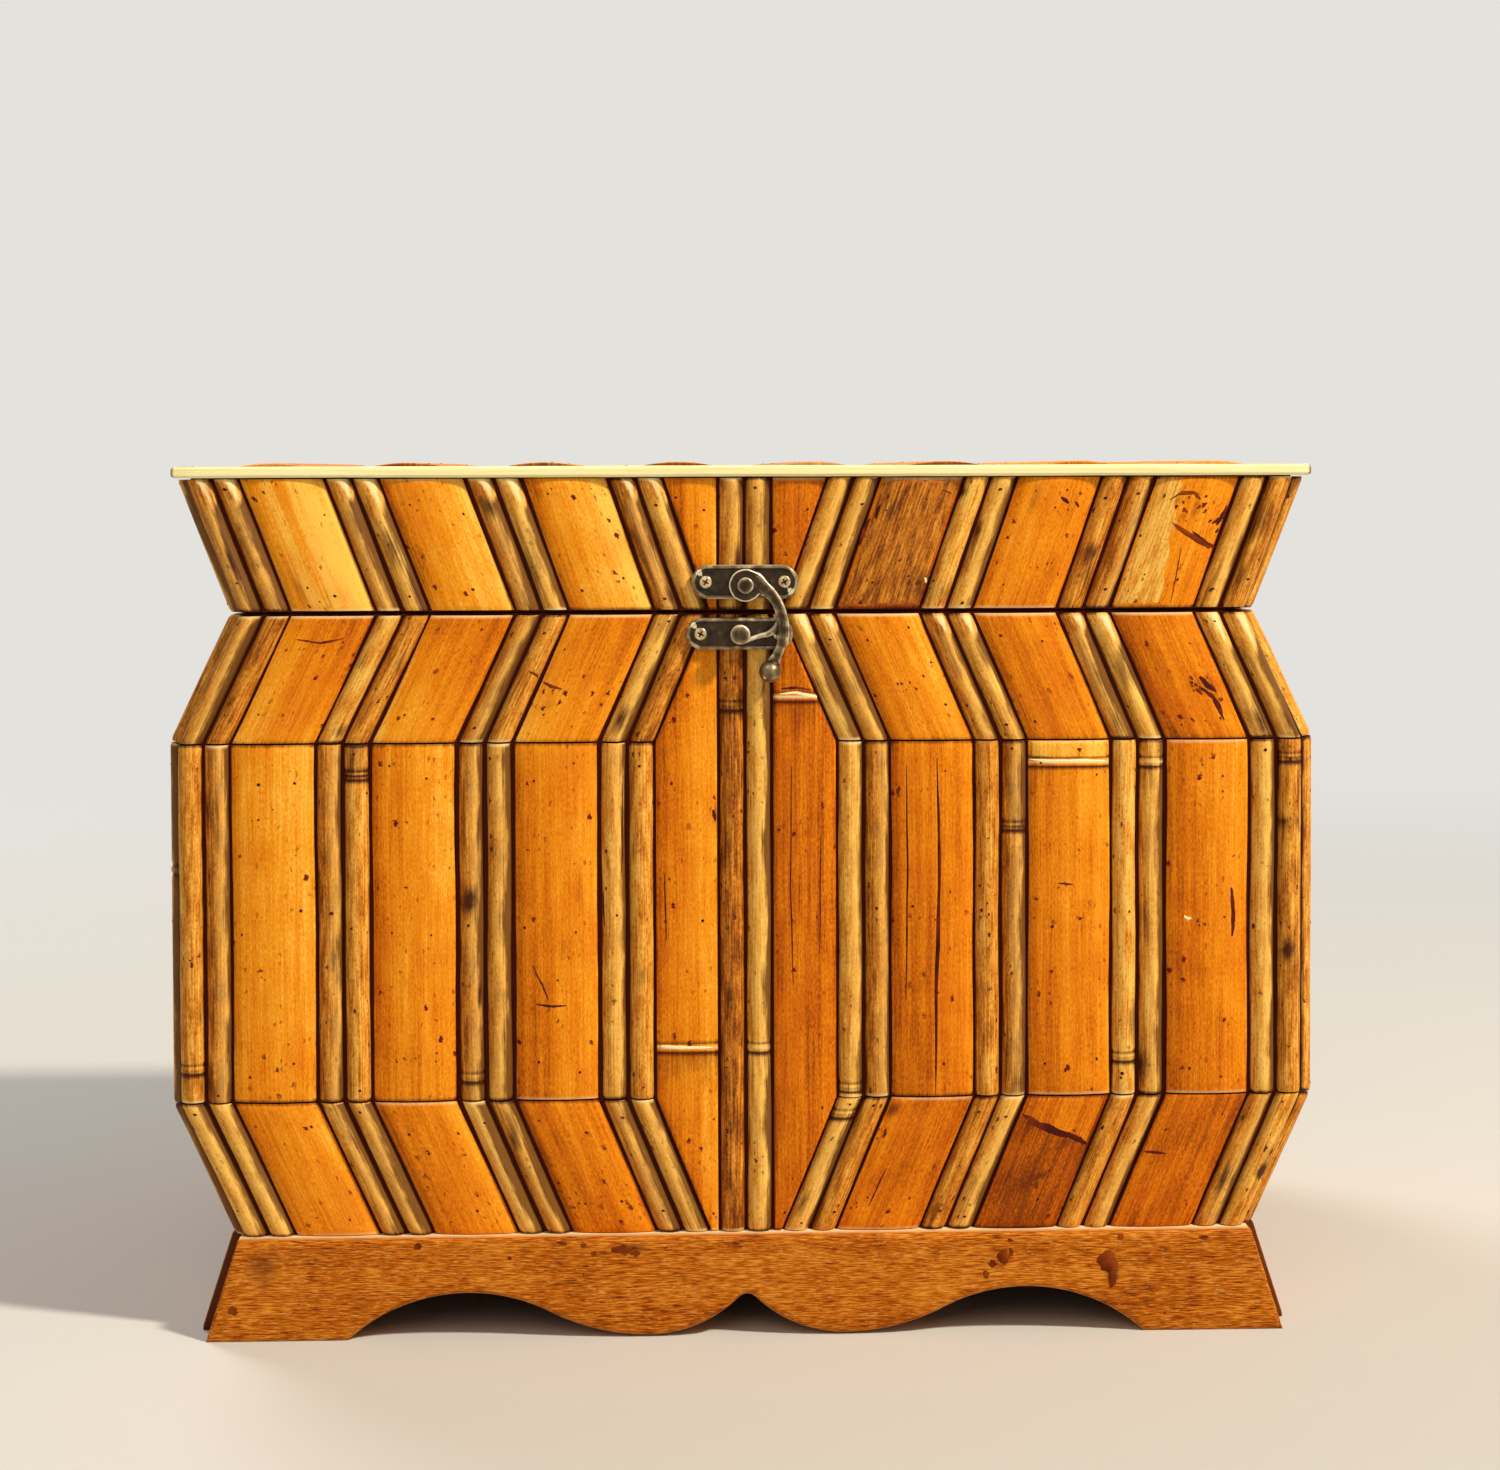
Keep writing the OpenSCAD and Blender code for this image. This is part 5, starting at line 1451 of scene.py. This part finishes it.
BLOT_RINGS = ((1, 0.25), (0.9, -0.03))
BLOT_TOP = 0.05
blot_points, blot_faces = [], []
around = turns(BLOT_SIDES)
for x, z, half_w, half_h in BOARD_BLOTS:
    ragged = rng.uniform(0.65, 1.15, BLOT_SIDES)
    rim, shoulder = [
        np.c_[x + share * half_w * ragged * np.cos(around), np.full(BLOT_SIDES, sunk - APRON_Y),
              z + share * half_h * ragged * np.sin(around)] for share, sunk in BLOT_RINGS]
    dome(blot_points, blot_faces, rim, shoulder, (x, -APRON_Y - BLOT_TOP, z))
finish_piece(mesh_object("front_apron_blots", blot_points, blot_faces), thin_oxblood, "apron_wood", "box")

# Boards and hinges, with the screws of the hinges, keep the shapes they have in the frame
for name, node in nodes.items():
    finish = None
    if name.endswith("board"):
        finish = short_ply if "left" in name or "right" in name else long_ply
    elif name.startswith("hinge"):
        finish = brass
    if finish:
        cover(node, finish)


# Latch: cast plates, a turned rivet and stud, brass screws and the swinging hook
def stand_at(obj, x, z, out=0):
    """Stands a piece that was modelled flat on the latch's plane, with its place in its mesh."""
    make_active(obj)
    obj.rotation_euler = (math.pi / 2, 0, 0)
    obj.location = [v * MM for v in (x, LATCH_Y - out, z)]
    bpy.ops.object.transform_apply(location=True, rotation=True, scale=True)


def round_edges(reach):
    """Rounds the selected edges of the active piece."""
    bpy.ops.object.mode_set(mode="EDIT")
    bpy.ops.mesh.select_mode(type="FACE")
    bpy.ops.mesh.bevel(offset=reach * MM, segments=4, affect="EDGES")
    bpy.ops.object.mode_set(mode="OBJECT")


PLATE_RIM = 0.6
PLATE_LIP = 0.3
PLATE_SUNK = 0.25
PLATE_RINGS = (0.25, 0.4, 0.6)


def cast_plate(name, x, z, height, body):
    """A plate with round ends, a rounded rim and a slightly sunk face.

    The rings in its face keep the rubbed edge, with its painted highlight, narrow.
    """
    plate = shape(bpy.ops.mesh.primitive_cylinder_add, vertices=48, radius=height / 2 * MM,
                  depth=PLATE_T * MM, location=(0, 0, PLATE_T / 2 * MM))
    plate.name = f"{name}_dressed"
    bpy.ops.object.transform_apply(location=True, rotation=True, scale=True)
    for vertex in plate.data.vertices:
        if abs(vertex.co.x) > 0.01 * MM:
            vertex.co.x += math.copysign((PLATE_L - height) / 2 * MM, vertex.co.x)
    for edge in plate.data.edges:
        edge.select = False
    for face in plate.data.polygons:
        face.select = face.normal.z > 0.9
    round_edges(PLATE_RIM)
    for face in plate.data.polygons:
        on_top = face.normal.z > 0.99 and face.center.z > (PLATE_T - 0.05) * MM
        face.select = on_top and len(face.vertices) > 8
    bpy.ops.object.mode_set(mode="EDIT")
    bpy.ops.mesh.inset(thickness=PLATE_LIP * MM)
    bpy.ops.mesh.inset(thickness=PLATE_SUNK * MM, depth=-PLATE_SUNK * MM)
    for ring in PLATE_RINGS:
        bpy.ops.mesh.inset(thickness=ring * MM)
    bpy.ops.object.mode_set(mode="OBJECT")
    stand_at(plate, x, z)
    finish_piece(plate, bronze, "antique_bronze", body, name, smooth=40)


def turned(name, profile, x, z, body):
    """A piece turned from a profile of (radius, height out of the latch's plane)."""
    edges = [(i, i + 1) for i in range(len(profile) - 1)]
    obj = mesh_object(f"{name}_dressed", [(r, 0, h) for r, h in profile], [], edges)
    make_active(obj)
    bpy.ops.object.mode_set(mode="EDIT")
    bpy.ops.mesh.select_all(action="SELECT")
    bpy.ops.mesh.spin(steps=32, angle=2 * math.pi, center=(0, 0, 0), axis=(0, 0, 1))
    bpy.ops.mesh.select_all(action="SELECT")
    bpy.ops.mesh.remove_doubles(threshold=0.01 * MM)
    face_outwards(obj)
    stand_at(obj, x, z)
    finish_piece(obj, bronze, "antique_bronze", body, name, smooth=40)


LATCH_PLATE_UP = 0.8
LATCH_PLATE_W = 9
RIVET_R = 1.5
STUD_FOOT_R = 2.2
SUNK_FOOT = PLATE_T - 0.3
cast_plate("latch_plate", 0, LATCH_Z + LATCH_PLATE_UP, LATCH_PLATE_W, "lid")
cast_plate("keeper_plate", KEEPER_X, KEEPER_Z, PLATE_W, "box")
turned("latch_rivet", [
    (0, SUNK_FOOT), (BOSS_R, SUNK_FOOT), (BOSS_R, HOOK_OUT - 0.1), (RIVET_R, HOOK_OUT - 0.1),
    (RIVET_R, RIVET_OUT), (RIVET_HEAD_R, RIVET_OUT), (RIVET_HEAD_R, RIVET_OUT + 0.5),
    (RIVET_HEAD_R - 0.1, RIVET_OUT + 0.7), (RIVET_HEAD_R - 0.35, RIVET_OUT + 0.82), (1, RIVET_OUT + 0.86),
    (0, RIVET_OUT + RIVET_HEAD_T)], 0, LATCH_Z, "lid")
turned("keeper_stud", [
    (0, SUNK_FOOT), (STUD_FOOT_R, SUNK_FOOT), (STUD_FOOT_R, PLATE_T + 0.1), (1.4, PLATE_T + 0.4),
    (1.15, STUD_OUT), (STUD_HEAD_R - 0.15, STUD_OUT), (STUD_HEAD_R, STUD_OUT + 0.2),
    (STUD_HEAD_R, STUD_OUT + 0.95), (STUD_HEAD_R - 0.15, STUD_OUT + 1.2),
    (STUD_HEAD_R - 0.5, STUD_OUT + 1.36), (1.2, STUD_OUT + 1.44), (0, STUD_OUT + STUD_HEAD_T)],
       KEEPER_X, KEEPER_Z, "box")
SCREW_HEAD_DEPTH = 1.2
SCREW_RIM = 0.45
CROSS_SIZE = (1.75, 0.48, 0.2)
CROSS_OUT = 0.53
CROSS_TURN = 0.5


def cross_screws(name, x, z, body):
    """Two brass screws with pan heads, and a dark cross on each head, which paints the shade in its cross
    slot.
    """
    heads, cross_slot_shades = [], []
    for side in (-1, 1):
        screw_x = x + side * SCREW_PITCH / 2
        head = shape(bpy.ops.mesh.primitive_cylinder_add, vertices=32, radius=SCREW_HEAD_R * MM,
                     depth=SCREW_HEAD_DEPTH * MM)
        round_edges(SCREW_RIM)
        stand_at(head, screw_x, z, PLATE_T)
        heads.append(head)
        for turn in (0, math.pi / 2):
            arm = shape(bpy.ops.mesh.primitive_cube_add, size=1)
            arm.scale = [size * MM for size in CROSS_SIZE]
            arm.rotation_euler = (0, 0, turn + side * CROSS_TURN)
            bpy.ops.object.transform_apply(location=False, rotation=True, scale=True)
            stand_at(arm, screw_x, z, PLATE_T + CROSS_OUT)
            cross_slot_shades.append(arm)
    finish_piece(join_up(heads, f"{name}_dressed"), brass, "brass", body, name, smooth=40)
    # the dark crosses paint the shade in the screws' cross slots
    finish_piece(join_up(cross_slot_shades, f"{name}_crosses"), oxblood, "antique_bronze", body, smooth=40)


cross_screws("latch_screws", 0, LATCH_Z + LATCH_PLATE_UP, "lid")
cross_screws("keeper_screws", KEEPER_X, KEEPER_Z, "box")

# The hook's arm and tail, and its prong, from the pivot: (right, up, half width)
HOOK_ARM = [(0, 2.6, 1.6), (2.6, 1.4, 2.3), (4.4, -0.5, 2.2), (6.5, -2.1, 1.7), (8.4, -4.8, 1.5),
            (9.4, -7.8, 1.6), (9.8, -10.8, 1.85), (9.8, -13.6, 1.75), (9.3, -15.7, 1.3), (8.3, -18.2, 1.35),
            (7.3, -20.3, 1.8)]
HOOK_PRONG = [(9.4, -9.4, 1.3), (7.9, -11.4, 1.15), (6.0, -12.7, 0.85), (3.6, -13.3, 0.7), (1.4, -14.0, 0.65),
              (-0.6, -14.75, 0.6), (-2.6, -14.85, 0.55)]
HOOK_EYE_R = 4.3
HOOK_BALL = (6.4, -22.6)
HOOK_VOXEL = 0.2


def hook_stem(points):
    """A stem through the points, with an oval section where it is wider than the hook is thick."""
    curve = bpy.data.curves.new("hook_stem", "CURVE")
    curve.dimensions = "3D"
    curve.bevel_depth = MM
    curve.bevel_resolution = 4
    curve.resolution_u = 6
    curve.use_fill_caps = True
    spline = curve.splines.new("BEZIER")
    spline.bezier_points.add(len(points) - 1)
    for knot, (x, y, half) in zip(spline.bezier_points, points):
        knot.co = (x * MM, y * MM, 0)
        knot.radius = half
        knot.handle_left_type = "AUTO"
        knot.handle_right_type = "AUTO"
    stem = bpy.data.objects.new("hook_stem", curve)
    bpy.context.scene.collection.objects.link(stem)
    make_active(stem)
    bpy.ops.object.convert(target="MESH")
    for vertex in stem.data.vertices:
        height = vertex.co.z / (HOOK_T / 2 * MM)
        vertex.co.z = HOOK_T / 2 * MM * height / math.sqrt(1 + height ** 2 / 2)
    return stem


def swing_hook():
    """The cast hook, joined from its eye, arm, prong and ball, and smoothed into one."""
    stems = [hook_stem(HOOK_ARM), hook_stem(HOOK_PRONG)]
    eye = shape(bpy.ops.mesh.primitive_cylinder_add, vertices=48, radius=HOOK_EYE_R * MM, depth=HOOK_T * MM)
    ball = shape(bpy.ops.mesh.primitive_uv_sphere_add, segments=28, ring_count=18, radius=BALL_R * MM,
                 location=[v * MM for v in (*HOOK_BALL, 0)])
    hook = join_up([*stems, eye, ball], "latch_hook_dressed")
    remesh = hook.modifiers.new("merge", "REMESH")
    remesh.mode = "VOXEL"
    remesh.voxel_size = HOOK_VOXEL * MM
    soften = hook.modifiers.new("soften", "SMOOTH")
    soften.factor = 0.5
    soften.iterations = 9
    for modifier in ("merge", "soften"):
        bpy.ops.object.modifier_apply(modifier=modifier)
    stand_at(hook, 0, LATCH_Z, HOOK_OUT + HOOK_T / 2)
    finish_piece(hook, hook_bronze, "antique_bronze", "latch_hook", "latch_hook", smooth=60)


swing_hook()

# Camera at the photograph's angle, in its 1500 by 1470 frame
FOCAL_PX = 3055
FRAME_W_PX = 1500
camera_data = bpy.data.cameras.new("camera")
camera_data.sensor_width = 36
camera_data.lens = camera_data.sensor_width * FOCAL_PX / FRAME_W_PX
camera_data.shift_y = -0.1
camera = bpy.data.objects.new("camera", camera_data)
camera.location = (-0.0267, -0.8995, 0.228)
camera.rotation_euler = [math.radians(a) for a in (87.836, 0.17, -2.014)]
bpy.context.scene.collection.objects.link(camera)
bpy.context.scene.camera = camera


# Soft studio light: a key from the upper right, a fill from the left, a lamp behind and an even sky
def soft_light(name, place, size, power, colour):
    """A round lamp that faces the middle of the box."""
    lamp = bpy.data.lights.new(name, "AREA")
    lamp.shape = "DISK"
    lamp.size = size
    lamp.energy = power
    lamp.color = linear(colour)[:3]
    obj = bpy.data.objects.new(name, lamp)
    obj.location = place
    aim = obj.location - Vector(BOX_MIDDLE)
    obj.rotation_euler = aim.to_track_quat("Z", "Y").to_euler()
    bpy.context.scene.collection.objects.link(obj)


soft_light("key", (1.42, -1.06, 1.85), 0.25, 70, "#FFF6E6")
soft_light("fill", (-0.5, -1.9, 1.5), 1.6, 7.2, "#FFF6EA")
soft_light("rear", (-1.0, 1.7, 1.5), 1.2, 29, "#FFFFFF")

# The pale background that the camera and the metal see, into which the floor fades
BACKGROUND = linear("#E4E2DD")
FLOOR_SIZE = 30
FADE_START = 0.3
FADE_END = 1.5


def sees_background(tree):
    """1 for the rays that show the pale background, and 0 for those that light the scene."""
    rays = add(tree, "ShaderNodeLightPath").outputs
    mirrored = maths(tree, "MAXIMUM", rays["Is Glossy Ray"], rays["Is Transmission Ray"])
    return maths(tree, "MAXIMUM", rays["Is Camera Ray"], mirrored)


world = bpy.data.worlds.new("studio")
world.use_nodes = True
tree = world.node_tree
tree.nodes.clear()
sky = add(tree, "ShaderNodeBackground", {"Color": linear("#F6F4F0"), "Strength": 0.2})
backdrop = add(tree, "ShaderNodeBackground", {"Color": BACKGROUND, "Strength": 1})
both = add(tree, "ShaderNodeMixShader", {0: sees_background(tree), 1: sky.outputs["Background"],
                                         2: backdrop.outputs["Background"]})
add(tree, "ShaderNodeOutputWorld", {"Surface": both.outputs["Shader"]})
bpy.context.scene.world = world

floor = shape(bpy.ops.mesh.primitive_plane_add, size=FLOOR_SIZE, location=(0, 0, 0))
floor.name = "floor"
material, tree = new_material("pale_floor")
matt = add(tree, "ShaderNodeBsdfPrincipled", {"Base Color": linear("#CECBC4"), "Roughness": 0.85})
far = add(tree, "ShaderNodeEmission", {"Color": BACKGROUND, "Strength": 1})
away = add(tree, "ShaderNodeVectorMath", {0: object_place(tree)}, operation="LENGTH")
fade = add(tree, "ShaderNodeMapRange", {"Value": away.outputs["Value"], "From Min": FADE_START,
                                        "From Max": FADE_END}, interpolation_type="SMOOTHSTEP")
amount = maths(tree, "MULTIPLY", fade.outputs["Result"], sees_background(tree))
both = add(tree, "ShaderNodeMixShader", {0: amount, 1: matt.outputs["BSDF"], 2: far.outputs["Emission"]})
add(tree, "ShaderNodeOutputMaterial", {"Surface": both.outputs["Shader"]})
cover(floor, material)

bpy.context.scene.view_settings.view_transform = "Standard"
